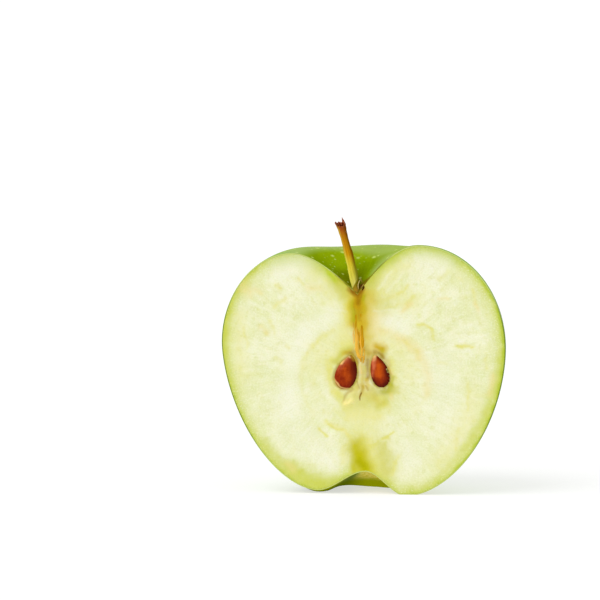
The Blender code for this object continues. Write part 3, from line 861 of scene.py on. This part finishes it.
def peel_finish():
    """Waxy green peel: faint lengthwise streaks of lighter and deeper green, and small pale spots
    that crowd together towards the eye, a little raised. Painted shade makes it deeper green in the
    stem's hollow, dark olive on the left by the stem's foot, olive and darker towards the back on the
    underside, and darker on the right side near the cut, its cut edge too; painted sheen makes it
    paler on the hollow's rim. It is russet by the eye, and its cut edge is pale."""
    mix = Mixer("peel", 0.32, specular=0.0)
    place = mix.place()
    clouds = mix.noise(place, 11 * MM)
    streaks = mix.streaks()
    fine = mix.noise(place, 0.7 * MM, detail=2.0)
    colour = mix.blend(mix.spread(clouds, 0.3, 0.7), paint(122, 164, 16), paint(146, 182, 32))
    colour = mix.wash(colour, paint(160, 190, 46), streaks, 0.42, 0.80, 0.30)
    colour = mix.wash(colour, paint(104, 148, 8), streaks, 0.48, 0.20, 0.24)
    # A deeper green for the stem's hollow: painted shade.
    deep = mix.blend(mix.spread(clouds, 0.35, 0.65), paint(116, 141, 0), paint(140, 166, 2))
    deep = mix.wash(deep, paint(152, 176, 14), streaks, 0.45, 0.75, 0.25)
    colour = mix.marked(colour, deep, "hollow", 0.95)
    colour = mix.marked(colour, paint(112, 114, 0), "shade", 0.80)
    # Painted sheen: paler green on the hollow's rim and on the wall beside the right arm, a painted
    # reflection of the sky at a grazing angle.
    colour = mix.marked(colour, paint(166, 188, 102), "rim", 0.66)
    russet = mix.blend(mix.spread(fine, 0.4, 0.6), paint(196, 182, 50), paint(222, 204, 92))
    # Olive on the underside near the floor, darker towards the back left: painted shade.
    olive = mix.blend(mix.mark("dim"), paint(152, 157, 0), paint(92, 104, 0))
    colour = mix.marked(colour, olive, "base", 0.95)
    colour = mix.marked(colour, russet, "eye", 0.95)

    raised = None
    for spacing, size, crowd in SPECKLES:
        scale = 1 / (spacing * MM)
        cells = mix.add("ShaderNodeTexVoronoi", Vector=mix.warped(place), Scale=scale, Randomness=1.0)
        chance = mix.add("ShaderNodeSeparateColor", Color=cells.outputs["Color"])
        radius = mix.maths("MULTIPLY_ADD", chance.outputs["Red"], size * 0.8, size * 0.2)
        spot = mix.spread(mix.maths("SUBTRACT", radius, cells.outputs["Distance"]), -0.10, 0.14)
        keep = mix.spread(chance.outputs["Green"], 0.22, 0.30)
        if crowd:
            keep = mix.times(keep, mix.mark("crowd"))
        spot = mix.times(spot, keep)
        raised = spot if raised is None else mix.maths("MAXIMUM", raised, spot)
    for across, deep_in, up in SPOTS:
        away = mix.add("ShaderNodeVectorMath", {"operation": "DISTANCE"})
        mix.feed(away.inputs[0], place)
        mix.feed(away.inputs[1], (CORE_X + across * MM, CUT_Y + deep_in * MM, up * MM))
        spot = mix.spread(away.outputs["Value"], 1.5 * SPOT_SIZE, 0.6 * SPOT_SIZE)
        raised = mix.maths("MAXIMUM", raised, spot)
    raised = mix.times(raised, mix.remainder(mix.mark("base")))
    colour = mix.blend(mix.times(raised, 0.70), colour, paint(204, 222, 118))
    # Painted shade on the side away from the light: darker green on the right side near the cut, and a
    # darker cut edge there.
    colour = mix.marked(colour, paint(78, 112, 0), "lee_shade", 0.80)
    cut = mix.blend(mix.mark("lee_shade"), paint(202, 213, 122), paint(118, 138, 14))
    cut = mix.blend(mix.mark("arm"), cut, paint(132, 128, 24))
    colour = mix.blend(mix.mark("cut_edge"), colour, cut)
    colour = mix.blend(mix.mark("foot"), colour, mix.blend(fine, paint(84, 64, 0), paint(150, 134, 20)))
    mix.feed(mix.shader.inputs["Coat Weight"], mix.times(mix.mark("gloss"), 0.32))
    mix.fix(Coat_Roughness=0.14)
    mix.fix(Subsurface_Weight=0.06, Subsurface_Radius=(0.6, 1.0, 0.2), Subsurface_Scale=0.8 * MM)
    rough = mix.maths("MULTIPLY_ADD", fine, 0.14, 0.26)
    height = mix.plus(mix.times(raised, 0.7), mix.times(fine, 0.35))
    return mix.finish(colour, height, 0.06 * MM, 0.5, rough)


def build_peel():
    """The peel: a thin closed shell between the skin and the flesh, whose cut edge stands out a
    little between its two layers, by half a sine wave. Each of its marks fades from one place to
    another: millimetres out from the core axis or up, or the azimuth."""
    azimuth = np.linspace(0, np.pi, PEEL_COLUMNS)
    outer = layer(azimuth, 0.0)
    inner = layer(azimuth, PEEL_THICKNESS)
    share = np.linspace(0, 1, EDGE_STEPS)[:, None, None]
    edges = []
    for side in (0, -1):
        edge = outer[side] * (1 - share) + inner[side] * share
        edge[..., 1] -= PEEL_LIFT * np.sin(np.pi * share[..., 0])
        edges.append(edge)
    grids = [outer, inner, *edges]
    marks = []
    for number, grid in enumerate(grids):
        across = grid[..., 0] - CORE_X
        deep = grid[..., 1] - CUT_Y
        height = grid[..., 2] / MM
        turn = np.arctan2(deep, across)
        out = np.hypot(across, deep) / MM
        left = smooth(0.5, -0.8, np.cos(turn))
        stem_end = smooth(45, 50, height)
        in_hollow = smooth(45, 55, height)
        # The hollow's rim and the wall beside the right arm, where painted sheen lies.
        rim = smooth(7 + 6 * left, 11 + 6 * left, out) * smooth(22, 15, out) * smooth(50, 58, height)
        sheen = smooth(1.25, 0.55, turn) * smooth(1.5, 4, out) * smooth(12, 8, out) * stem_end
        cut_edge = np.zeros(grid.shape[:2])
        if number > 1:  # The last two grids are the cut edges.
            cut_edge[1:-1] = 1
        marks.append({
            "grain": round_grain(turn, height, PEEL_FINENESS, PEEL_STREAK),
            # Where the hollow's painted shade lies.
            "hollow": smooth(17.5, 13, out) * in_hollow,
            "rim": np.maximum(rim, sheen),
            "shade": smooth(9, 3, out) * stem_end * left,
            # Where painted shade lies on the underside, and where it is deeper towards the back left.
            "base": smooth(24, 15, out) * smooth(10, 3, height),
            "dim": smooth(1.5, 2.1, turn) * smooth(3.3, 2.6, turn),
            "eye": smooth(9.5, 6.5, out) * smooth(10, 6, height) * smooth(2.1, 1.5, turn),
            "crowd": np.maximum(smooth(40, 14, height), left * smooth(15, 9, out) * smooth(50, 54, height)),
            "gloss": (1 - smooth(18.5, 14, out) * in_hollow) * smooth(1.5, 8, height),
            # Where painted shade lies on the right side near the cut.
            "lee_shade": smooth(0.13, 0, turn) * smooth(56, 42, height) * smooth(4, 20, height),
            "foot": smooth(2.6, 1.2, out) * stem_end,
            "arm": smooth(9, 4, out) * stem_end,
            "cut_edge": cut_edge,
        })
    solid("peel", grids, peel_finish(), marks)


# Painted light and shade on the seeds, and the colours of their tips and nibbles, in the same places as the
# flesh's: paint, half width, strength and path. The soft strokes are painted highlights in rose on the
# seeds' left sides, an orange painted glow in their middles, and painted shade in mahogany on their right
# and lower edges. Among the touches, the beige dot on the left seed's tip, the rose line down the right
# seed's left edge and the thin peach line round the left seed's left side and bottom are painted highlights;
# the peach cap on the left seed's tip is partly its papery end and partly painted highlight.
SEED_LIGHT_AND_SHADE = (
    (ROSE, 1, 0.5, -6.6, 32.2, -5.2, 33.9, -4, 34.4),
    (MAHOGANY, 1.4, 0.95, -1.7, 33.6, -1.1, 31, -1.5, 28.2),
    (MAHOGANY, 0.7, 0.4, -5.6, 27.2, -4, 26.6, -2.6, 27.2),
    (ORANGE, 0.9, 0.85, 4.2, 32.8, 4.6, 30.6),
    (ORANGE, 0.9, 0.35, -4.2, 31.8, -3.6, 29.6),
    (MAHOGANY, 0.8, 0.95, 4.8, 35.2, 6.6, 32.6, 6.8, 30.2),
    (MAHOGANY, 1.1, 0.95, 7, 28.8, 5.4, 27.2, 3.4, 27.6, 2.4, 29.4),
    (ROSE, 0.5, 0.5, 3, 33.8, 2.7, 31.6, 2.6, 30.2),
)
SEED_TIPS_AND_HIGHLIGHTS = (
    (PEACH, 0.54, 0.85, -5.4, 33.7, -4.4, 34.7, -3.4, 35.5),
    (SEPIA, 0.55, 0.7, -3, 36.2, -2.5, 35.3, -2.1, 34.6),
    (BEIGE, 0.24, 0.5, -3.2, 35.3, -3, 34.9),
    (PEACH, 0.5, 0.8, 3.3, 35.6, 3.2, 34.4),
    (ROSE, 0.5, 0.66, 3.2, 34.4, 3, 32.6),
    (BEIGE, 0.24, 0.8, 6.6, 32.1, 6.85, 31.4),
    (PEACH, 0.14, 0.4, 7.5, 29.4, 7.3, 28.7),
    (PEACH, 0.2, 0.6, -7.1, 31, -7, 29.2, -5.8, 27.3, -4.4, 26.75, -3, 27),
)

# The knife's nibbles in the right seed's edge: share of its length, half height and depth. A
# negative depth is a crumb left standing in one.
NIBBLES = (
    (0.515, 0.05, 0.58),
    (0.36, 0.022, 0.34),
    (0.24, 0.022, 0.42),
    (0.2, 0.012, -0.3),
    (0.255, 0.012, -0.42),
)
SEED_FINENESS = 7.0
SEED_STREAK = 3.0


def seed_finish():
    """A seed coat with a soft gloss: red brown with fine lengthwise grain, and the painted highlights,
    painted shade and tip colours that the mesh carries.
    """
    mix = Mixer("seed_coat", 0.38, specular=0.02)
    streaks = mix.streaks()
    mottle = mix.noise(mix.place(), 0.8 * MM)
    colour = mix.blend(mix.spread(mottle, 0.3, 0.7), paint(134, 35, 4), paint(158, 53, 10))
    colour = mix.wash(colour, paint(118, 28, 4), streaks, 0.45, 0.75, 0.40)
    colour = mix.wash(colour, paint(206, 96, 50), streaks, 0.42, 0.25, 0.25)
    colour = mix.painted_over(colour, mottle)
    mix.fix(Coat_Weight=0.06, Coat_Roughness=0.24)
    height = mix.plus(streaks, mix.times(mottle, 0.5))
    return mix.finish(colour, height, 0.05 * MM, 0.5)


def build_seeds():
    """Both seeds. Each is a flattened ball with the half width above and the tip bent aside by the
    square of the height. The knife has nibbled the right one's edge."""
    finish = seed_finish()
    turn = np.linspace(0, 2 * np.pi, SEED_TURNS)[:, None]
    share = (1 - np.cos(np.linspace(0, np.pi, SEED_STEPS)))[None] / 2
    for name, node, length, width, low, bend in SEEDS:
        across = np.cos(turn) * seed_half_width(share, width)
        deep = np.sin(turn) * seed_half_width(share, SEED_THICKNESS)
        if bend < 0:
            for middle, reach, bite in NIBBLES:
                edge = np.clip(np.cos(turn), 0, 1) ** 3
                across = across - bite * edge * np.exp(-(((share - middle) / reach) ** 2))
        across = across + bend * share**2
        up = low[2] + share * length + 0 * turn
        beside = low[0] + across
        points = placed(beside, low[1] + deep, up)
        # The seed's painted highlights and shade, with the colours of its tip and nibbles.
        stain_light_shade, cover = painted(beside, up, SEED_LIGHT_AND_SHADE, SEED_TIPS_AND_HIGHLIGHTS)
        grain = round_grain(turn, up, SEED_FINENESS, SEED_STREAK)
        marks = {"stain_light_shade": stain_light_shade, "stain_light_shade_cover": cover, "grain": grain}
        piece = solid(name, [points], finish, [marks])
        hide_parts(node)


# The stem's line, as the solid has it.
STEM_FOOT = (-1.30, 0.8, 49.4)
STEM_TOP = 69.0
STEM_LEAN = 4.40
STEM_BACK = 0.6
STEM_RADIUS = 1.12
STEM_TURNS = 97
STEM_STEPS = 170

# The torn end: the height of its rim in front and behind, and its two horns, each with a turn round
# the stem, a height and a spread. The right horn stands twice, a whole turn apart, since the ends of
# the rim meet in it.
RIM_FRONT = 68.3
RIM_BACK = 69.2
HORNS = ((0.35, 1.75, 0.50), (math.pi - 0.15, 0.45, 0.40), (2 * math.pi + 0.35, 1.75, 0.50))
PITH_FLOOR = 67.2
PIT_STEPS = 24
HIDDEN_FOOT = 50.4

# The height at which the wood's colours start, the length that they go over, and the bark.
WOOD_FROM = 51.0
WOOD_OVER = 18.5
BARK_FINENESS = 6.0
BARK_LENGTH = 5.0


def stem_line(up):
    """Across, deep and radius of the stem at a height. It leans to the left by the 1.35th power of
    its length, thins at the foot and at a neck and flares at the torn end, and two sine waves make
    it uneven."""
    share = np.clip((up - STEM_FOOT[2]) / (STEM_TOP - STEM_FOOT[2]), 0, 1.2)
    across = STEM_FOOT[0] - STEM_LEAN * share**1.35
    deep = STEM_FOOT[1] + STEM_BACK * share
    radius = STEM_RADIUS - 0.18 * smooth(0.30, 0.05, share) - 0.12 * smooth(0.50, 0.76, share)
    radius = radius + 0.28 * smooth(0.88, 0.99, share)
    radius = radius + 0.04 * np.sin(share * 23) + 0.02 * np.sin(share * 51 + 1)
    return across, deep, radius


def stem_finish():
    """Dry wood: pale above an olive foot, through yellow to orange brown, with bark drawn out in fine
    ridges. Painted light makes the left side lighter and painted shade makes the right one darker;
    the torn end is dark, and a collar of dull brown lies round the right of the foot."""
    mix = Mixer("stem", 0.6, specular=0.0)
    bark = mix.streaks()
    flecks = mix.noise(mix.place(), 0.38 * MM)
    along = mix.plus(mix.mark("along"), mix.centred(bark, 0.14))
    colour = mix.ramp(
        along,
        (0, 150, 132, 24),
        (0.1, 208, 200, 104),
        (0.26, 210, 200, 70),
        (0.42, 208, 188, 44),
        (0.56, 200, 146, 12),
        (0.78, 184, 119, 14),
        (0.9, 160, 78, 26),
        (1, 142, 62, 36),
    )
    side = mix.mark("side")
    # Painted light: the left side lighter.
    light_side = mix.times(mix.spread(side, -0.30, -0.75), mix.spread(along, 0.98, 0.88))
    light = mix.blend(mix.spread(along, 0.66, 0.44), paint(206, 176, 60), paint(226, 218, 76))
    colour = mix.blend(mix.times(light_side, 0.75), colour, light)
    # Painted shade: the right side darker.
    shaded_side = mix.blend(mix.spread(along, 0.30, 0.50), paint(104, 106, 0), paint(104, 66, 0))
    colour = mix.wash(colour, shaded_side, side, 0.20, 0.85, 0.75)
    colour = mix.wash(colour, paint(128, 72, 8), bark, 0.52, 0.75, 0.42)
    torn = mix.spread(along, 0.90, 0.97)
    scab = mix.blend(mix.spread(flecks, 0.42, 0.58), paint(104, 34, 18), paint(196, 116, 80))
    colour = mix.blend(mix.times(torn, 0.80), colour, scab)
    colour = mix.blend(mix.mark("pith"), colour, mix.blend(flecks, paint(50, 12, 4), paint(104, 34, 16)))
    collar = mix.blend(mix.spread(along, 0.02, 0.16), paint(166, 128, 36), paint(126, 116, 8))
    colour = mix.blend(mix.mark("collar"), colour, collar)
    height = mix.plus(bark, mix.times(flecks, mix.maths("MULTIPLY_ADD", torn, 1.5, 0.5)))
    return mix.finish(colour, height, 0.12 * MM, 0.8)


def build_stem():
    """The stem: a rod on its line whose upper end is torn. The outside climbs to a ragged rim, which
    is a wave lower in front plus a bell for each horn, and the inside drops from it to a dark pit."""
    turn = np.linspace(0, 2 * np.pi, STEM_TURNS)[:, None]
    rim = (RIM_FRONT + RIM_BACK) / 2 + (RIM_BACK - RIM_FRONT) / 2 * np.sin(turn)
    rim = rim + 0.09 * np.sin(7 * turn + 1) + 0.06 * np.sin(13 * turn) + 0.04 * np.sin(19 * turn + 2)
    for at, reach, spread in HORNS:
        rim = rim + reach * np.exp(-(((turn - at) / spread) ** 2))
    share = np.linspace(0, 1, STEM_STEPS)[None]
    up = HIDDEN_FOOT + (rim - HIDDEN_FOOT) * share
    across, deep, radius = stem_line(up)
    radius = radius * np.sqrt(smooth(0.0, 0.10, share))
    ridges = 1 + 0.035 * np.sin(9 * turn + 4 * share) + 0.025 * np.sin(17 * turn - 9 * share)
    knobs = 0.07 * np.sin(5 * turn + 2.4 * up) * np.sin(3.1 * up + 2 * np.cos(turn)) * smooth(66.5, 68.0, up)
    thin = 1 - 0.30 * smooth(69.0, 70.8, up)
    reach = radius * (ridges + knobs) * thin
    outside = np.stack([across + reach * np.cos(turn), deep + reach * np.sin(turn), up], axis=-1)

    inward = np.linspace(0, 1, PIT_STEPS)[None]
    pit_across, pit_deep, _ = stem_line(np.array(PITH_FLOOR))
    pit = np.array([pit_across, pit_deep, PITH_FLOOR])
    inside = outside[:, -1:, :] + (pit - outside[:, -1:, :]) * inward[..., None]
    inside[..., 2] -= (0.35 + 0.10 * np.sin(5 * turn + 9 * inward)) * np.sin(np.pi * inward)

    grids = []
    marks = []
    for grid, pith in ((outside, 0 * share), (inside, smooth(0.10, 0.45, inward))):
        height = grid[..., 2]
        middle, _, _ = stem_line(height)
        aside = (grid[..., 0] - middle) / STEM_RADIUS
        grids.append(placed(grid[..., 0], grid[..., 1], height))
        wedge = -1.2 + 2.2 * smooth(51.3, 56.0, height)
        marks.append({
            "along": (height - WOOD_FROM) / WOOD_OVER,
            "side": aside,
            "pith": pith + 0 * height,
            "collar": smooth(wedge, wedge + 0.3, aside) * smooth(57.5, 55.5, height),
            "grain": round_grain(turn, height, BARK_FINENESS, BARK_LENGTH),
        })
    piece = solid("stem_wood", grids, stem_finish(), marks)
    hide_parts("stem")


# The strands between the stem and the seeds: half width, depth of the middle, tone from dark to
# pale, and path across and up. Near the stem they are sunk in the flesh.
STRANDS = (
    (0.4, 0.16, 0.56, -1.75, 50.8, -1.65, 48.5, -1.45, 45, -1.6, 42.5, -1.35, 40, -1.27, 38.1),
    (0.42, 0.08, 0.8, -1.48, 43, -1.4, 40.4, -1.27, 38.1, -1.32, 36.6, -0.78, 35.4, -0.22, 34.3),
    (0.22, 0.14, 0.42, -1.25, 50, -1.2, 46, -1, 43.5, -1, 41.5, -0.62, 39.5, -0.5, 37.8),
    (0.44, 0.18, 0.34, -0.3, 48.6, -0.26, 45, 0.04, 42, 0.16, 40, 0.12, 38.3, 0.02, 36.6),
    (0.22, 0.02, 0.74, -0.3, 42.6, -0.34, 40.2, -0.3, 38.3, -0.05, 37, 0.05, 35.7, -0.15, 34.8),
    (0.11, 0.02, 0.9, -2.1, 44, -2.18, 42.4, -2.16, 40.4, -2, 38.2, -1.85, 36.8),
    (0.24, 0.06, 0.55, -1.5, 36.4, -0.95, 35.5, -0.5, 34.9, -0.2, 34.2, -0.1, 33.2, -0.06, 32.6),
    (0.15, 0, 0.78, -0.42, 34.4, -0.1, 35.1, 0.3, 35.2, 0.48, 34.6, 0.42, 33.8, 0.26, 33.2),
    (0.1, 0.05, 0.6, 0.36, 37.8, 0.66, 36.4, 0.72, 35.2, 0.6, 34.2),
    (0.12, 0.05, 0.2, -0.8, 41.6, -0.72, 40, -0.62, 38.4, -0.62, 36.8),
)
STRAND_TURNS = 21
STRAND_STEPS = 90
STRAND_SINK = 0.24
STRAND_FLATNESS = 0.62
STRAND_SHIFT = 9
STRAND_FINENESS = 2.4
STRAND_STREAK = 5.0


def tube(path, half_across, half_deep):
    """A rounded rod along a path: an oval at each point, square to the path, with a half width and
    a half depth given for each."""
    along = np.gradient(path, axis=0)
    along /= np.linalg.norm(along, axis=1, keepdims=True)
    aside = np.cross(along, (0.0, 1.0, 0.0))
    aside /= np.linalg.norm(aside, axis=1, keepdims=True)
    behind = np.cross(aside, along)
    turn = np.linspace(0, 2 * np.pi, STRAND_TURNS)[:, None, None]
    wide = half_across[None, :, None] * np.cos(turn) * aside[None]
    deep = half_deep[None, :, None] * np.sin(turn) * behind[None]
    return path[None] + wide + deep


def even_path(path, size, count):
    """Points at equal steps along a path with its corners cut."""
    path = rounded(path, size, 3)
    run = np.concatenate([[0], np.cumsum(np.linalg.norm(np.diff(path, axis=0), axis=1))])
    steps = np.linspace(0, run[-1], count)
    return np.stack([np.interp(steps, run, path[:, part]) for part in range(path.shape[1])], axis=-1)


def strand_finish():
    """Moist fibre: tan threads with darker orange between them, olive brown near the stem and a
    duller tan at the lower end."""
    mix = Mixer("fibre", 0.5, specular=0.02)
    thread = mix.streaks()
    tone = mix.plus(mix.mark("tone"), mix.centred(thread, 0.7))
    colour = mix.ramp(
        tone,
        (0, 172, 116, 0),
        (0.3, 200, 146, 14),
        (0.6, 222, 168, 40),
        (0.85, 240, 188, 74),
        (1, 250, 214, 130),
    )
    blended = mix.blend(mix.spread(thread, 0.40, 0.60), paint(160, 121, 0), paint(198, 156, 8))
    colour = mix.marked(colour, blended, "top", 0.85)
    colour = mix.blend(mix.mark("end"), colour, paint(200, 152, 44))
    return mix.finish(colour, thread, 0.08 * MM, 0.5)


def build_strands():
    """The bundle of fibres on the cut face, each strand a tube that closes at its ends by the root of
    the distance to them. Sine waves make it waver, rise and sink, and swell."""
    grids = []
    marks = []
    share = np.linspace(0, 1, STRAND_STEPS)
    turn = np.linspace(0, 2 * np.pi, STRAND_TURNS)[:, None]
    for number, (half, deep, tone, *path) in enumerate(STRANDS):
        flat = even_path(path, 2, STRAND_STEPS)
        waver = 0.05 * np.sin(share * 17 + number * 2) + 0.02 * np.sin(share * 41 + number)
        sunk = deep + 0.03 + STRAND_SINK * smooth(43.5, 49.0, flat[:, 1])
        sunk = sunk + 0.05 * np.sin(share * 11 + number)
        line = np.stack([flat[:, 0] + waver, sunk, flat[:, 1]], axis=-1)
        swell = 1 + 0.12 * np.sin(share * 21 + number) + 0.06 * np.sin(share * 47 + number)
        close = np.sqrt(np.clip(np.minimum(share, 1 - share) / 0.12, 0, 1))
        body = tube(line, half * swell * close, STRAND_FLATNESS * half * swell * close)
        height = body[..., 2]
        grids.append(placed(body[..., 0], body[..., 1], height))
        grain = round_grain(turn, height, STRAND_FINENESS, STRAND_STREAK)
        grain[..., 0] += STRAND_SHIFT * number
        marks.append({
            "grain": grain,
            "tone": tone + 0 * height,
            "top": smooth(38.8, 44.6, height),
            "end": smooth(35.4, 33.4, height) * 0.8,
        })
    solid("core_strands", grids, strand_finish(), marks)


# The dry scales at the stem's foot: half width, tone from dark to pale, and path, which is its
# points' places across, in from the cut, and up.
SCALES = (
    (0.11, 0.85, -0.88, -0.1, 52.3, -0.98, -0.2, 53.2, -0.78, -0.15, 54.1, -0.36, -0.05, 54.8),
    (0.28, 0.1, -0.42, 0.1, 52.4, -0.2, 0, 53, 0.02, 0.05, 53.6),
    (0.09, 0.6, -0.3, -0.2, 52.6, 0, -0.28, 52.9, 0.3, -0.2, 53.3, 0.46, -0.1, 53.7),
    (0.2, 0.05, 0.02, 0, 52, 0.28, -0.05, 52.4, 0.5, 0, 52.9, 0.6, 0.1, 53.4),
    (0.08, 0.5, 0.1, -0.05, 54, -0.12, -0.1, 54.6, -0.45, 0, 55.1),
    (0.17, 0.05, -4.1, 0.2, 53.8, -3.4, 0.15, 53, -2.9, 0.1, 52.3, -2.4, 0.1, 51.7),
    (0.09, 0.15, -6.2, 0.15, 55.8, -5.3, 0.12, 54.9, -4.5, 0.12, 54.1, -3.9, 0.12, 53.5),
)
SCALE_STEPS = 40
SCALE_FLATNESS = 0.35


def scale_finish():
    """Dead dry scales: near black to tan, with a speckled matt surface."""
    mix = Mixer("dry_scale", 0.85, specular=0.0)
    speckle = mix.noise(mix.place(), 0.25 * MM)
    tone = mix.plus(mix.mark("tone"), mix.centred(speckle, 0.5))
    colour = mix.ramp(tone, (0, 62, 30, 4), (0.35, 112, 78, 18), (0.7, 176, 150, 78), (1, 216, 198, 128))
    return mix.finish(colour, speckle, 0.10 * MM, 0.9)


def build_scales():
    """The curled dry scales at the stem's foot, each a flat ribbon that shrinks to its ends by the
    root of a sine."""
    grids = []
    marks = []
    share = np.linspace(0, 1, SCALE_STEPS)
    leaf = np.sqrt(np.clip(np.sin(np.pi * share), 0, 1)) * (1 + 0.15 * np.sin(share * 30))
    leaf[[0, -1]] = 0
    for half, tone, *path in SCALES:
        body = tube(even_path(path, 3, SCALE_STEPS), half * leaf, SCALE_FLATNESS * half * leaf)
        grids.append(placed(body[..., 0], body[..., 1], body[..., 2]))
        marks.append({"tone": np.full(body.shape[:2], tone)})
    solid("stem_scales", grids, scale_finish(), marks)


# The studio: a light table under a white sky, and one soft light from the upper left.
SKY = 0.72
SUN_STRENGTH = 1.29
SUN_SOFTNESS = math.radians(46)
SUN_FROM = Vector((-0.50, -0.40, 0.77))
TABLE_GLOW = 0.60
TABLE_SHADE = 176
FLOOR_REACH = 6.0

# The camera looks at what is in the middle of the photograph, from a little above and to the right.
CAMERA_AZIMUTH = math.radians(6.5)
CAMERA_ELEVATION = math.radians(5)
CAMERA_DISTANCE = 1.3
FRAME_WIDTH = 152.4 * MM
LOOK_AT = Vector((-16.16 * MM, CUT_Y, 49.4 * MM))
SENSOR = 36.0


def build_studio():
    """Floor, sky, light and camera."""
    floor_mesh = bpy.data.meshes.new("floor")
    reach = FLOOR_REACH
    corners = [(-reach, -reach, 0), (reach, -reach, 0), (reach, reach, 0), (-reach, reach, 0)]
    floor_mesh.from_pydata(corners, [], [(0, 1, 2, 3)])
    floor = bpy.data.objects.new("floor", floor_mesh)
    bpy.context.scene.collection.objects.link(floor)
    acrylic = Mixer("acrylic", 0.9, specular=0.1)
    grain = acrylic.noise(acrylic.place(), 2 * MM)
    shade = acrylic.blend(grain, paint(*[TABLE_SHADE] * 3), paint(*[TABLE_SHADE + 3] * 3))
    acrylic.fix(Emission_Color=(1, 1, 1, 1), Emission_Strength=TABLE_GLOW)
    floor_mesh.materials.append(acrylic.finish(shade, grain, 0.01 * MM, 0.2))

    sky = bpy.data.worlds.new("sky")
    sky.use_nodes = True
    background = sky.node_tree.nodes["Background"]
    background.inputs["Color"].default_value = (1, 1, 1, 1)
    background.inputs["Strength"].default_value = SKY
    bpy.context.scene.world = sky

    sun_data = bpy.data.lights.new("window", "SUN")
    sun_data.energy = SUN_STRENGTH
    sun_data.angle = SUN_SOFTNESS
    sun = bpy.data.objects.new("window", sun_data)
    sun.rotation_euler = SUN_FROM.to_track_quat("Z", "Y").to_euler()
    bpy.context.scene.collection.objects.link(sun)

    camera_data = bpy.data.cameras.new("camera")
    camera_data.sensor_width = SENSOR
    camera_data.lens = SENSOR * CAMERA_DISTANCE / FRAME_WIDTH
    camera_data.clip_end = 50
    camera = bpy.data.objects.new("camera", camera_data)
    level = math.cos(CAMERA_ELEVATION)
    aside, forward = math.sin(CAMERA_AZIMUTH) * level, math.cos(CAMERA_AZIMUTH) * level
    back = Vector((aside, -forward, math.sin(CAMERA_ELEVATION)))
    camera.location = LOOK_AT + back * CAMERA_DISTANCE
    camera.rotation_euler = back.to_track_quat("Z", "Y").to_euler()
    bpy.context.scene.collection.objects.link(camera)
    bpy.context.scene.camera = camera
    bpy.context.scene.view_settings.view_transform = "Standard"


build_flesh()
build_peel()
build_seeds()
build_stem()
build_strands()
build_scales()
build_studio()
